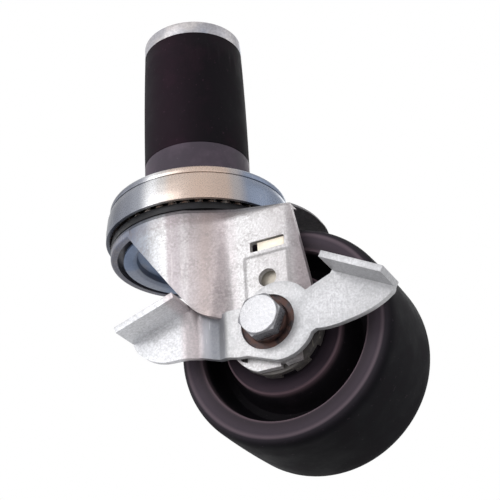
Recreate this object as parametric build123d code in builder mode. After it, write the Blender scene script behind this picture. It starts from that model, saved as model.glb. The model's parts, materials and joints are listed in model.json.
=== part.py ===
from build123d import *
import math
import os

# Swivel castor with a rubber expanding stem, a stamped fork and a foot brake.
# Millimetres. Origin: swivel axis at the top face of the head. +Z runs up the
# stem, +X is the trailing side where the wheel hangs, -Y is the brake side.

# Driving dimensions: expanding stem for a round tube
STEM_R = 25.6
STEM_MID_DROP = 0.25
STEM_TAPER = 1.1
COLLAR_H = 22.7
SLEEVE_H = 64.3
END_CAP_H = 7.0
STEM_EDGE = 1.0
CONE_H = 8.0
CONE_R_OUT = 21.0
CONE_R_IN = 17.0
SLEEVE_BORE_R = 17.0
STEM_BOLT_R = 6.0
STEM_BOLT_HEAD_AF = 19.0
STEM_BOLT_HEAD_H = 6.0
STEM_WASHER_R = 12.0
STEM_WASHER_T = 2.5
BOLT_PLAY = 0.2

# Swivel head
PLATE_T = 4.0
PLATE_ROUND = 2.6
SEAM = 0.4
SHELL_T = 2.4
SHELL_COVER = 1.0
SKIRT_FLARE = 2.0
SKIRT_LOW = -18.6
SHELL_STEPS = ((1.2, -8.0), (1.9, -14.0))
RACE_SEAT_PLAY = 0.05
BALL_R = 2.5
TRACK_INSET = 3.7
BALL_COUNT = 40
BALL_SEAT = 0.7
UPPER_RACE_IN = 4.0
UPPER_RACE_OUT = 3.2
UPPER_RACE_T = 4.0
UPPER_RACE_LOW = -16.6
SEAL_IN = 3.5
SEAL_INSET = 0.4
SEAL_T = 3.5
BALL_GAP = 0.3
BALL_TOUCH = 0.02
SMALL_BALL_R = 1.0
SMALL_TRACK_INSET = 2.75
SMALL_BALL_COUNT = 60
SMALL_SEAT = 0.4
KINGPIN_NECK_R = 9.0
KINGPIN_BODY_R = 13.0
KINGPIN_TAIL_R = 10.0
KINGPIN_HEAD_R = 15.0
KINGPIN_HEAD_H = 3.2
KINGPIN_BORE_END = -20.0
RETAINER_GAP = 2.95
RETAINER_STEP = 2.8
RETAINER_T = 1.2
RETAINER_DISH = 1.0
RETAINER_LIFT = 3.7

# Fork: one stamping of sheet steel
SHEET = 2.8
CROWN_TOP = -22.9
CROWN_R = 42.6
CROWN_LIP = -28.1
CROWN_BORE_PLAY = 0.4
CROWN_ROUND = 1.6
CROWN_TUCK = 0.2
CROWN_CREASE_X = 13.0
CROWN_RIB = (28.0, -32.1)
CROWN_STEP = (33.0, -29.4)
CROWN_CORNER = (57.0, -22.4)
BACK_X = 62.3
RIM_T = 3.2
RIM_ROUND = 0.9
BAND_Z = -31.0
BAND_CREASE_X = 12.0
BAND_RIB = (28.0, -35.9)
FOOT_CREASE_X = 6.0
FOOT_RIB = (26.0, -41.2)
STEP_X = 32.5
PLATE_Y = 36.0
LEG_FRONT_TURN = 232.0

# Axle line and leg outline
TRAIL = 50.5
DROP = 87.5
EYE_R = 20.8
LEG_BACK_TOP = (11.5, 56.5)
LEG_BACK_CROWN = (6.5, 62.5)
LEG_BACK_LOW = (18.6, 10.5)
LEG_BACK_KNEE = (17.4, -5.0)
EYE_CUT = (12.1, -13.5)
EYE_LEFT = (-20.8, 0.6)
EYE_FLAT = ((-7.6, -19.4), (4.0, -19.4))
EYE_TOE = ((6.2, -18.4), (12.2, -17.6))
SKIRT_FOOT = (-24.5, 8.0)
STEP_FOOT_Z = 10.0
SKIRT_TOE = (-29.2, 10.0)
SKIRT_MID = (-38.8, 17.7)
SKIRT_RISE = (-50.8, 33.6)
SKIRT_HEAD = (-69.0, 60.0)
HEM_W = 4.2
HEM_RELIEF = 0.8
SLOT_SIZE = (16.4, 4.9)
SLOT_AT = (0.1, 38.8)
POCKET_RAISE = 1.0
POCKET_SIDE = (-11.5, 10.8)
POCKET_SPAN = (14.6, 34.6)
POCKET_SLOPE = 2.4
PEEP_R = 4.2
PEEP_AT = (-0.2, 22.0)
WINDOW = ((-17.2, -10.0), (-11.9, -10.2), (-11.9, -14.6), (-14.6, -13.4))
NOTCH_W = 2.2
NOTCH_DEPTH = 3.0
NOTCH_TURN = -76.0

# Wheel
WHEEL_R = 50.0
TREAD_HALF = 19.0
TREAD_EDGE_R = 49.7
FACE_Y = 26.3
RING_OUT_R = 46.1
RING_IN_R = 38.8
WEB_Y = 12.0
WEB_OUT_R = 37.2
WEB_IN_R = 29.0
BOSS_R = 27.4
DISH_R = 19.6
DISH_Y = 24.8
HUB_R = 18.4
HUB_Y = 28.9
EDGE_ROUND = 1.0

# Axle stack
AXLE_R = 5.0
SLEEVE_R = 7.0
RUN_PLAY = 0.06
BUSH_OUT_R = 10.0
BUSH_INSET = 0.3
AXLE_HEAD_AF = 17.0
AXLE_HEAD_TURN = 7.0
AXLE_HEAD_H = 6.6
HEAD_WASHER_T = 3.6
AXLE_WASHER_R = 9.4
AXLE_WASHER_T = 1.6
NUT_H = 6.4
NUT_COLLAR_H = 2.6
NUT_COLLAR_R = 7.6
BOLT_TAIL = 2.5
GUARD_R = 19.5
GUARD_T = 1.2
SPACER_R = 11.0
SPACER_GAP = 0.3

# Foot lever
LEVER_T = 2.8
LEVER_GAP = 0.5
LEVER_HOLE_R = 12.3
LEVER_LEDGE_R = 10.7
LEVER_PLAY = 0.08
BUSH_FLANGE_T = 1.0
BUSH_SINK = 0.9
LEVER_DISC_AT = (4.5, 0.9)
LEVER_DISC_R = 16.3
LIP_OUT = 15.0
LIP_ROUND = 3.0
FRONT_BEND = ((-64.6, 4.75), (-37.4, 13.8))
BACK_BEND = ((31.0, 15.65), (56.7, 1.85))
NECK_TOP = 9.2
TROUGH_TOP = 13.0
TROUGH_DEPTH = 2.9
TROUGH_X = (-38.6, -33.6, -23.9, -19.2)
LEVER_BACK_UNDER = ((46.7, -5.2), (36.5, -7.7), (28.1, -8.7), (21.4, -8.2))
LEVER_LOBE = ((19.4, -9.2), (13.0, -16.0), (3.0, -18.0))
LEVER_EYE_UNDER = ((-3.7, -15.5), (-9.7, -13.3), (-14.5, -12.9), (-24.7, -10.6),
                   (-32.7, -7.9), (-45.6, -7.5))
LEVER_FRONT_UNDER = ((-54.4, -5.7), (-60.6, -1.6))
LEVER_BLANK = 60.0
LEVER_SWING = 18.0

# Brake plate
BRAKE_T = 2.4
BRAKE_GAP = 0.5
BRAKE_R = 20.3
BRAKE_STROKE = 1.0
TOOTH_R = (19.2, 20.8)
TOOTH_LEN = 2.7
TOOTH_COUNT = 9
TOOTH_SHARE = 0.55
ARM_X = (-5.6, 8.0)
TAB_PLAY = 0.5
TAB_END_GAP = 3.2
TAB_SINK = 0.9
POST_R = 2.0
POST_TRACK_R = 16.6
POST_PLAY = 0.4
POST_TIP_GAP = 0.5
RAMP_H = 1.1
RAMP_W = 3.0
RAMP_RUN = (4.1, 6.4)
RAMP_LAG = 8.0

# Places worked out from the sizes above
STEM_MID_R = STEM_R - STEM_MID_DROP
STEM_TOP_R = STEM_R - STEM_TAPER
SEAL_OUT_R = CROWN_R - SEAL_INSET
BALL_TRACK_R = SEAL_OUT_R - TRACK_INSET
SEAL_IN_R = BALL_TRACK_R - SEAL_IN
UPPER_RACE_OUT_R = BALL_TRACK_R + UPPER_RACE_OUT
UPPER_RACE_IN_R = BALL_TRACK_R - UPPER_RACE_IN
PLATE_R = UPPER_RACE_OUT_R + SHELL_COVER
SKIRT_R = PLATE_R + SKIRT_FLARE
RETAINER_R = CROWN_R - RIM_T - RETAINER_GAP
SMALL_TRACK_R = RETAINER_R - SMALL_TRACK_INSET
RETAINER_STEP_R = SMALL_TRACK_R - RETAINER_STEP
CROWN_BORE_R = RETAINER_STEP_R + CROWN_BORE_PLAY
COLLAR_TOP = COLLAR_H
SLEEVE_TOP = COLLAR_TOP + SLEEVE_H
STEM_TOP = SLEEVE_TOP + END_CAP_H
SHELL_TOP = -PLATE_T - SEAM
CROWN_UNDER = CROWN_TOP - SHEET
SEAL_TOP = CROWN_TOP + SEAL_T
BALL_Z = UPPER_RACE_LOW + BALL_SEAT - BALL_TOUCH - BALL_R
SMALL_BALL_Z = CROWN_UNDER + SMALL_SEAT - BALL_GAP - SMALL_BALL_R
FLANGE_TOP = SMALL_BALL_Z - SMALL_BALL_R + SMALL_SEAT - BALL_TOUCH
FLANGE_LOW = FLANGE_TOP - RETAINER_T
RETAINER_CORE = FLANGE_LOW + RETAINER_LIFT
RETAINER_TOP = RETAINER_CORE + RETAINER_T
INNER_Y = PLATE_Y - SHEET
LEVER_IN_Y = PLATE_Y + POCKET_RAISE + LEVER_GAP
LEVER_OUT_Y = LEVER_IN_Y + LEVER_T
BUSH_OUT_Y = LEVER_OUT_Y - BUSH_SINK
LEDGE_OUT_Y = BUSH_OUT_Y - BUSH_FLANGE_T - LEVER_PLAY
HEAD_SEAT_Y = BUSH_OUT_Y + HEAD_WASHER_T
BRAKE_BACK_Y = INNER_Y - BRAKE_GAP
BRAKE_FACE_Y = BRAKE_BACK_Y - BRAKE_T
NUT_SEAT_Y = PLATE_Y + AXLE_WASHER_T
BOLT_END_Y = NUT_SEAT_Y + NUT_H + NUT_COLLAR_H + BOLT_TAIL

os.makedirs("parts", exist_ok=True)


def side(y):
    """Side-view plane through the axle line at height y, drawn in X and Z."""
    return Plane(origin=(TRAIL, y, -DROP), x_dir=(1, 0, 0), z_dir=(0, -1, 0))


def disc(radius, bore):
    """Round washer shape in the open sketch."""
    Circle(radius)
    if bore > 0:
        Circle(bore, mode=Mode.SUBTRACT)


def washer(y_from, y_to, radius, bore):
    """Round piece on the axle line between two heights along Y, in the open part."""
    with BuildSketch(side(y_from)) as ring:
        disc(radius, bore)
    extrude(ring.sketch, amount=y_from - y_to)


def hex_radius(across_flats):
    return across_flats / math.sqrt(3)


# Stem: collar, rubber sleeve, end cap, and the bolt that squeezes them
with BuildPart() as stem_collar:
    with BuildSketch(Plane.XZ):
        with BuildLine():
            Polyline(
                (STEM_BOLT_R + BOLT_PLAY, 0),
                (STEM_R, 0),
                (STEM_R, COLLAR_TOP),
                (CONE_R_OUT, COLLAR_TOP),
                (CONE_R_IN - RACE_SEAT_PLAY, COLLAR_TOP + CONE_H),
                (STEM_BOLT_R + BOLT_PLAY, COLLAR_TOP + CONE_H),
                close=True,
            )
        make_face()
    revolve(axis=Axis.Z)
    chamfer(stem_collar.edges().filter_by(GeomType.CIRCLE).group_by(Axis.Z)[0].sort_by(
        SortBy.RADIUS)[-1], STEM_EDGE / 2)

with BuildPart() as rubber_sleeve:
    with BuildSketch(Plane.XZ):
        with BuildLine():
            ThreePointArc((STEM_R, COLLAR_TOP), (STEM_MID_R, (COLLAR_TOP + SLEEVE_TOP) / 2),
                          (STEM_TOP_R, SLEEVE_TOP))
            Polyline(
                (STEM_TOP_R, SLEEVE_TOP),
                (CONE_R_OUT + RACE_SEAT_PLAY, SLEEVE_TOP),
                (SLEEVE_BORE_R, SLEEVE_TOP - CONE_H),
                (SLEEVE_BORE_R, COLLAR_TOP + CONE_H),
                (CONE_R_OUT + RACE_SEAT_PLAY, COLLAR_TOP),
                (STEM_R, COLLAR_TOP),
            )
        make_face()
    revolve(axis=Axis.Z)
    fillet(rubber_sleeve.edges().filter_by(GeomType.CIRCLE).sort_by(SortBy.RADIUS)[-2:],
           STEM_EDGE / 2)

with BuildPart() as end_cap:
    with BuildSketch(Plane.XZ):
        with BuildLine():
            Polyline(
                (STEM_BOLT_R + BOLT_PLAY, SLEEVE_TOP - CONE_H),
                (CONE_R_IN - RACE_SEAT_PLAY, SLEEVE_TOP - CONE_H),
                (CONE_R_OUT, SLEEVE_TOP),
                (STEM_TOP_R, SLEEVE_TOP),
                (STEM_TOP_R, STEM_TOP),
                (STEM_WASHER_R + BOLT_PLAY, STEM_TOP),
                (STEM_WASHER_R + BOLT_PLAY, STEM_TOP - STEM_WASHER_T),
                (STEM_BOLT_R + BOLT_PLAY, STEM_TOP - STEM_WASHER_T),
                close=True,
            )
        make_face()
    revolve(axis=Axis.Z)
    fillet(end_cap.edges().filter_by(GeomType.CIRCLE).group_by(Axis.Z)[-1].sort_by(
        SortBy.RADIUS)[-1], STEM_EDGE)

with BuildPart() as stem_washer:
    with BuildSketch(Plane.XY.offset(STEM_TOP - STEM_WASHER_T)):
        disc(STEM_WASHER_R, STEM_BOLT_R + BOLT_PLAY)
    extrude(amount=STEM_WASHER_T)

with BuildPart() as stem_bolt:
    with BuildSketch(Plane.XY.offset(KINGPIN_BORE_END)):
        Circle(STEM_BOLT_R)
    extrude(amount=STEM_TOP - KINGPIN_BORE_END)
    with BuildSketch(Plane.XY.offset(STEM_TOP)):
        RegularPolygon(hex_radius(STEM_BOLT_HEAD_AF), 6)
    extrude(amount=STEM_BOLT_HEAD_H)
    with BuildSketch(Plane.XZ):
        with BuildLine():
            Polyline(
                (0, KINGPIN_BORE_END),
                (STEM_BOLT_HEAD_AF, KINGPIN_BORE_END),
                (STEM_BOLT_HEAD_AF, STEM_TOP + STEM_BOLT_HEAD_H - STEM_BOLT_HEAD_AF / 2 * 0.58),
                (STEM_BOLT_HEAD_AF / 2, STEM_TOP + STEM_BOLT_HEAD_H),
                (0, STEM_TOP + STEM_BOLT_HEAD_H),
                close=True,
            )
        make_face()
    revolve(axis=Axis.Z, mode=Mode.INTERSECT)

# Swivel head: top plate, flared shell, races, balls, kingpin and retainer
with BuildPart() as top_plate:
    with BuildSketch(Plane.XY.offset(-PLATE_T)):
        disc(PLATE_R, KINGPIN_NECK_R + BOLT_PLAY)
    extrude(amount=PLATE_T)
    fillet(top_plate.edges().filter_by(GeomType.CIRCLE).group_by(Axis.Z)[-1].sort_by(
        SortBy.RADIUS)[-1], PLATE_ROUND)

with BuildPart() as shell:
    with BuildSketch(Plane.XZ):
        with BuildLine():
            Polyline(
                (KINGPIN_NECK_R + BOLT_PLAY, -PLATE_T),
                (PLATE_R - 1.6, -PLATE_T),
                (PLATE_R - 1.6, SHELL_TOP),
                (PLATE_R, SHELL_TOP),
                *[(PLATE_R + flare, z) for flare, z in SHELL_STEPS],
                (SKIRT_R, SKIRT_LOW),
                (SKIRT_R - SHELL_T + 0.6, SKIRT_LOW),
                (UPPER_RACE_OUT_R + RACE_SEAT_PLAY, UPPER_RACE_LOW),
                (UPPER_RACE_OUT_R + RACE_SEAT_PLAY, UPPER_RACE_LOW + UPPER_RACE_T),
                (PLATE_R - SHELL_T - 1.6, UPPER_RACE_LOW + UPPER_RACE_T),
                (PLATE_R - SHELL_T - 1.6, -PLATE_T - SHELL_T),
                (KINGPIN_NECK_R + BOLT_PLAY, -PLATE_T - SHELL_T),
                close=True,
            )
        make_face()
    revolve(axis=Axis.Z)


def ball_groove(track_r, ball_r, ball_z, play):
    """Cut the open part's running groove for a ring of balls."""
    with BuildSketch(Plane.XZ) as groove:
        with Locations((track_r, ball_z)):
            Circle(ball_r + play)
    revolve(groove.sketch, axis=Axis.Z, mode=Mode.SUBTRACT)


def ball_ring(track_r, ball_r, ball_z, count):
    """A ring of separate balls in the open part."""
    with Locations(Plane.XY.offset(ball_z)):
        with PolarLocations(track_r, count):
            Sphere(ball_r)


with BuildPart() as upper_race:
    with BuildSketch(Plane.XY.offset(UPPER_RACE_LOW)):
        disc(UPPER_RACE_OUT_R, UPPER_RACE_IN_R)
    extrude(amount=UPPER_RACE_T)
    ball_groove(BALL_TRACK_R, BALL_R, BALL_Z, BALL_TOUCH)

with BuildPart() as head_balls:
    ball_ring(BALL_TRACK_R, BALL_R, BALL_Z, BALL_COUNT)

with BuildPart() as lower_race:
    with BuildSketch(Plane.XY.offset(CROWN_TOP)):
        disc(SEAL_OUT_R, SEAL_IN_R)
    extrude(amount=SEAL_T)
    ball_groove(BALL_TRACK_R, BALL_R, BALL_Z, BALL_GAP)

with BuildPart() as kingpin:
    with BuildSketch(Plane.XZ):
        with BuildLine():
            Polyline(
                (STEM_BOLT_R + BOLT_PLAY / 4, 0),
                (KINGPIN_NECK_R, 0),
                (KINGPIN_NECK_R, -PLATE_T - SHELL_T),
                (KINGPIN_BODY_R, -PLATE_T - SHELL_T),
                (KINGPIN_BODY_R, RETAINER_TOP),
                (KINGPIN_TAIL_R, RETAINER_TOP),
                (KINGPIN_TAIL_R, RETAINER_CORE),
                (KINGPIN_HEAD_R, RETAINER_CORE),
            )
            ThreePointArc(
                (KINGPIN_HEAD_R, RETAINER_CORE),
                (KINGPIN_HEAD_R * 0.8, RETAINER_CORE - KINGPIN_HEAD_H * 0.7),
                (KINGPIN_HEAD_R * 0.4, RETAINER_CORE - KINGPIN_HEAD_H),
            )
            Polyline(
                (KINGPIN_HEAD_R * 0.4, RETAINER_CORE - KINGPIN_HEAD_H),
                (0, RETAINER_CORE - KINGPIN_HEAD_H),
                (0, KINGPIN_BORE_END),
                (STEM_BOLT_R + BOLT_PLAY / 4, KINGPIN_BORE_END),
                (STEM_BOLT_R + BOLT_PLAY / 4, 0),
            )
        make_face()
    revolve(axis=Axis.Z)

with BuildPart() as retainer:
    with BuildSketch(Plane.XZ):
        with BuildLine():
            Polyline(
                (KINGPIN_TAIL_R + RACE_SEAT_PLAY, RETAINER_CORE),
                (RETAINER_STEP_R - RETAINER_T, RETAINER_CORE),
                (RETAINER_STEP_R - RETAINER_T + 0.6, FLANGE_LOW + RETAINER_DISH),
                (RETAINER_STEP_R + RETAINER_DISH, FLANGE_LOW),
                (RETAINER_R, FLANGE_LOW),
                (RETAINER_R, FLANGE_TOP),
                (RETAINER_STEP_R, FLANGE_TOP),
                (RETAINER_STEP_R, RETAINER_TOP),
                (KINGPIN_TAIL_R + RACE_SEAT_PLAY, RETAINER_TOP),
                close=True,
            )
        make_face()
    revolve(axis=Axis.Z)
    ball_groove(SMALL_TRACK_R, SMALL_BALL_R, SMALL_BALL_Z, BALL_TOUCH)

with BuildPart() as crown_balls:
    ball_ring(SMALL_TRACK_R, SMALL_BALL_R, SMALL_BALL_Z, SMALL_BALL_COUNT)


def on_crown(angle, radius):
    """A point on a circle round the swivel axis."""
    turn = math.radians(angle)
    return (radius * math.cos(turn), radius * math.sin(turn))


def crease_point(crease_x, radius):
    """Where the round front of a leg turns into its flat rib."""
    return (crease_x, -math.sqrt(radius**2 - crease_x**2))


def crown_half():
    """Near half of the crown's outline seen from above, in the open line."""
    crease = crease_point(CROWN_CREASE_X, CROWN_R)
    ThreePointArc((-CROWN_R, 0), on_crown(225, CROWN_R), crease)
    Polyline(crease, CROWN_RIB, CROWN_STEP, CROWN_CORNER)
    ThreePointArc(CROWN_CORNER, on_crown(-11, BACK_X), (BACK_X, 0))


def wall_level(z, radius, crease_x, rib, step, rear):
    """Level section of a leg's wall: round front, rib, step and axle plate."""
    inner_r = radius - SHEET
    crease = crease_point(crease_x, radius)
    crease_in = (crease[0], crease[1] + SHEET)
    bow = (LEG_FRONT_TURN + 360 + math.degrees(math.atan2(crease[1], crease[0]))) / 2
    with BuildSketch(Plane.XY.offset(z)) as level:
        with BuildLine() as wall:
            ThreePointArc(on_crown(LEG_FRONT_TURN, radius), on_crown(bow, radius), crease)
            Polyline(
                crease,
                rib,
                step,
                rear,
                (rear[0], rear[1] + SHEET),
                (step[0] - SHEET / 2, step[1] + SHEET),
                (rib[0] - SHEET / 2, rib[1] + SHEET),
                crease_in,
            )
            ThreePointArc(crease_in, on_crown(bow, inner_r - 0.1),
                          on_crown(LEG_FRONT_TURN, inner_r))
            Line(on_crown(LEG_FRONT_TURN, inner_r), on_crown(LEG_FRONT_TURN, radius))
        make_face(wall.edges())
    return level.sketch.face()


def leg_outline(hem):
    """Side view of a leg, from the axle, with its rear edge set back by the hem."""
    top = DROP + CROWN_TOP - CROWN_ROUND
    with BuildLine() as outline:
        Spline(SKIRT_HEAD, SKIRT_RISE, SKIRT_MID, SKIRT_TOE, SKIRT_FOOT)
        Line(SKIRT_FOOT, EYE_LEFT)
        ThreePointArc(EYE_LEFT, on_crown(211, EYE_R), EYE_FLAT[0])
        Polyline(
            *EYE_FLAT,
            *EYE_TOE,
            EYE_CUT,
            LEG_BACK_KNEE,
            (LEG_BACK_LOW[0] - hem, LEG_BACK_LOW[1]),
            (LEG_BACK_TOP[0] - hem, LEG_BACK_TOP[1]),
            (LEG_BACK_CROWN[0], LEG_BACK_CROWN[1]),
            (LEG_BACK_CROWN[0], top + 1),
            (SKIRT_HEAD[0], top + 1),
            SKIRT_HEAD,
        )
    make_face(outline.edges())


def rear_hem():
    """The leg's rear margin, bent inward along its sloping edge."""
    rise = LEG_BACK_TOP[1] - LEG_BACK_LOW[1]
    slope = (LEG_BACK_LOW[0] - LEG_BACK_TOP[0]) / rise
    low_x = TRAIL + LEG_BACK_LOW[0]
    turn = SHEET / math.sqrt(2)
    with BuildSketch(Plane.XY.offset(LEG_BACK_LOW[1] - DROP)) as hem:
        with BuildLine():
            Polyline(
                (low_x - HEM_W - SHEET, -PLATE_Y),
                (low_x - HEM_W, -PLATE_Y),
                (low_x, -PLATE_Y + HEM_W),
                (low_x - turn, -PLATE_Y + HEM_W + turn),
                (low_x - HEM_W - turn / 2, -INNER_Y),
                (low_x - HEM_W - SHEET, -INNER_Y),
                close=True,
            )
        make_face()
    extrude(hem.sketch, amount=rise / math.cos(math.atan(slope)), dir=(-slope, 0, 1))


# One leg, plain: made on the near side and kept for both sides
with BuildPart() as leg:
    rear_x = TRAIL + EYE_R + SHEET
    tuck_z = CROWN_TOP - CROWN_ROUND - CROWN_TUCK
    tucked = [(x, y + CROWN_TUCK) for x, y in (CROWN_RIB, CROWN_STEP, CROWN_CORNER)]
    crown_level = wall_level(tuck_z, CROWN_R - CROWN_TUCK, CROWN_CREASE_X, *tucked)
    band_level = wall_level(BAND_Z, CROWN_R, BAND_CREASE_X, BAND_RIB, (STEP_X, -PLATE_Y),
                            (rear_x, -PLATE_Y))
    foot_level = wall_level(STEP_FOOT_Z - DROP, CROWN_R, FOOT_CREASE_X, FOOT_RIB,
                            (STEP_X, -PLATE_Y), (rear_x, -PLATE_Y))
    loft([crown_level, band_level], ruled=True)
    loft([band_level, foot_level], ruled=True)
    # the rib runs on a little below the step, and the eye below is flat
    with BuildSketch(Plane.XY.offset(STEP_FOOT_Z - DROP)):
        with BuildLine():
            rib_in = (FOOT_RIB[0] - SHEET / 2, FOOT_RIB[1] + SHEET)
            Polyline(crease_point(FOOT_CREASE_X, CROWN_R), FOOT_RIB, rib_in,
                     (FOOT_CREASE_X, crease_point(FOOT_CREASE_X, CROWN_R)[1] + SHEET),
                     close=True)
        make_face()
    extrude(amount=SKIRT_FOOT[1] - STEP_FOOT_Z)
    with BuildSketch(side(-INNER_Y)):
        with Locations((SHEET / 2, 0)):
            Rectangle(2 * EYE_R + SHEET, 2 * (EYE_R + SHEET))
    extrude(amount=SHEET)
    with BuildSketch(side(0)):
        leg_outline(HEM_W + SHEET / 2)
    extrude(amount=CROWN_R + 1, mode=Mode.INTERSECT)
    rear_hem()
    # the hem's foot makes room for the brake plate
    with BuildSketch(side(-BRAKE_FACE_Y + TOOTH_LEN + BRAKE_STROKE)):
        Circle(TOOTH_R[1] + HEM_RELIEF)
    extrude(amount=BRAKE_T + TOOTH_LEN + BRAKE_STROKE + BRAKE_GAP, mode=Mode.SUBTRACT)

with BuildPart() as fork:
    with BuildSketch(Plane.XY.offset(CROWN_TOP)):
        with BuildLine():
            crown_half()
            mirror(about=Plane.XZ)
        make_face()
    extrude(amount=-SHEET)
    fillet(fork.edges().group_by(Axis.Z)[-1], CROWN_ROUND)
    # turned-down rim round the front of the crown
    with BuildSketch(Plane.XY.offset(CROWN_UNDER)):
        disc(CROWN_R, CROWN_R - RIM_T)
        with Locations((CROWN_R, 0)):
            Rectangle(2 * CROWN_R, 2 * CROWN_R, mode=Mode.SUBTRACT)
    rim = extrude(amount=CROWN_LIP - CROWN_UNDER)
    fillet(rim.edges().filter_by(GeomType.CIRCLE).group_by(Axis.Z)[0].sort_by(
        SortBy.RADIUS)[-1], RIM_ROUND)
    add(leg.part)
    add(leg.part.mirror(Plane.XZ))
    with BuildSketch(Plane.XY.offset(CROWN_TOP)):
        Circle(CROWN_BORE_R)
    extrude(amount=CROWN_LIP - CROWN_TOP, mode=Mode.SUBTRACT)
    ball_groove(BALL_TRACK_R, BALL_R, BALL_Z, BALL_GAP)
    ball_groove(SMALL_TRACK_R, SMALL_BALL_R, SMALL_BALL_Z, BALL_GAP)
    # raised pocket on the brake side, pressed out from inside
    with BuildSketch(side(-PLATE_Y)):
        with Locations(((POCKET_SIDE[0] + POCKET_SIDE[1]) / 2,
                        (POCKET_SPAN[0] + POCKET_SPAN[1]) / 2)):
            pocket = Rectangle(POCKET_SIDE[1] - POCKET_SIDE[0], POCKET_SPAN[1] - POCKET_SPAN[0])
        fillet(pocket.vertices(), POCKET_SLOPE)
    extrude(amount=POCKET_RAISE, taper=50)
    with BuildSketch(side(-INNER_Y)):
        with Locations(((POCKET_SIDE[0] + POCKET_SIDE[1]) / 2,
                        (POCKET_SPAN[0] + POCKET_SPAN[1]) / 2)):
            inside = Rectangle(POCKET_SIDE[1] - POCKET_SIDE[0] - SHEET,
                               POCKET_SPAN[1] - POCKET_SPAN[0] - SHEET)
        fillet(inside.vertices(), POCKET_SLOPE)
    extrude(amount=POCKET_RAISE, taper=50, mode=Mode.SUBTRACT)
    # slot, peep hole, post holes, window and foot notch on the brake side
    with BuildSketch(side(-INNER_Y + SHEET)):
        with Locations(SLOT_AT):
            Rectangle(*SLOT_SIZE)
        with Locations(PEEP_AT):
            Circle(PEEP_R)
        with Locations((POST_TRACK_R, 0), (-POST_TRACK_R, 0)):
            Circle(POST_R + POST_PLAY)
        with BuildLine():
            Polyline(*WINDOW, close=True)
        make_face()
        with Locations(((EYE_R - NOTCH_DEPTH / 2) * math.cos(math.radians(NOTCH_TURN)),
                        (EYE_R - NOTCH_DEPTH / 2) * math.sin(math.radians(NOTCH_TURN)))):
            Rectangle(NOTCH_DEPTH, NOTCH_W, rotation=NOTCH_TURN)
    extrude(amount=SHEET * 3, mode=Mode.SUBTRACT)
    # axle hole through both legs
    with BuildSketch(side(0)):
        Circle(AXLE_R + BOLT_PLAY)
    extrude(amount=CROWN_R, both=True, mode=Mode.SUBTRACT)

# Axle stack, carried by the fork
with BuildPart() as axle_sleeve:
    washer(INNER_Y, -INNER_Y, SLEEVE_R, AXLE_R + BOLT_PLAY)

with BuildPart() as lever_bush:
    washer(-PLATE_Y, -(BUSH_OUT_Y - BUSH_FLANGE_T), LEVER_LEDGE_R - LEVER_PLAY,
           AXLE_R + BOLT_PLAY)
    washer(-(BUSH_OUT_Y - BUSH_FLANGE_T), -BUSH_OUT_Y, LEVER_HOLE_R - LEVER_PLAY,
           AXLE_R + BOLT_PLAY)

with BuildPart() as head_washer:
    washer(-BUSH_OUT_Y, -HEAD_SEAT_Y, AXLE_WASHER_R, AXLE_R + BOLT_PLAY)

with BuildPart() as nut_washer:
    washer(NUT_SEAT_Y, PLATE_Y, AXLE_WASHER_R, AXLE_R + BOLT_PLAY)


def hex_chamfer(y_face, y_back, across_flats):
    """Round off a hexagon's corners towards its outer face, in the open part."""
    corner = hex_radius(across_flats) + 1.0
    fall = (corner - across_flats / 2) * 0.58
    toward = 1 if y_face > y_back else -1
    with BuildSketch(Plane(origin=(TRAIL, 0, -DROP), x_dir=(0, 1, 0), z_dir=(1, 0, 0))) as cone:
        with BuildLine():
            Polyline(
                (y_back, 0),
                (y_face, 0),
                (y_face, across_flats / 2 - 0.2),
                (y_face - toward * fall, corner),
                (y_back, corner),
                close=True,
            )
        make_face()
    revolve(cone.sketch, axis=Axis((TRAIL, 0, -DROP), (0, 1, 0)), mode=Mode.INTERSECT)


with BuildPart() as axle_bolt:
    with BuildSketch(side(-HEAD_SEAT_Y)):
        RegularPolygon(hex_radius(AXLE_HEAD_AF), 6, rotation=AXLE_HEAD_TURN)
    extrude(amount=AXLE_HEAD_H)
    hex_chamfer(-HEAD_SEAT_Y - AXLE_HEAD_H, BOLT_END_Y, AXLE_HEAD_AF)
    washer(BOLT_END_Y, -HEAD_SEAT_Y, AXLE_R, 0)

with BuildPart() as axle_nut:
    with BuildSketch(side(NUT_SEAT_Y + NUT_H)):
        RegularPolygon(hex_radius(AXLE_HEAD_AF), 6)
    extrude(amount=NUT_H)
    hex_chamfer(NUT_SEAT_Y + NUT_H, NUT_SEAT_Y, AXLE_HEAD_AF)
    washer(NUT_SEAT_Y + NUT_H + NUT_COLLAR_H, NUT_SEAT_Y + NUT_H, NUT_COLLAR_R, 0)
    with BuildSketch(side(NUT_SEAT_Y + NUT_H + NUT_COLLAR_H)):
        Circle(AXLE_R + RUN_PLAY)
    extrude(amount=NUT_H + NUT_COLLAR_H, mode=Mode.SUBTRACT)

with BuildPart() as hub_spacer:
    washer(INNER_Y - GUARD_T, HUB_Y + SPACER_GAP, SPACER_R, SLEEVE_R + RUN_PLAY)

with BuildPart() as thread_guard:
    washer(INNER_Y, INNER_Y - GUARD_T, GUARD_R, SLEEVE_R + RUN_PLAY)

# Wheel: one moulding, with a plain bush pressed into its hub


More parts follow.
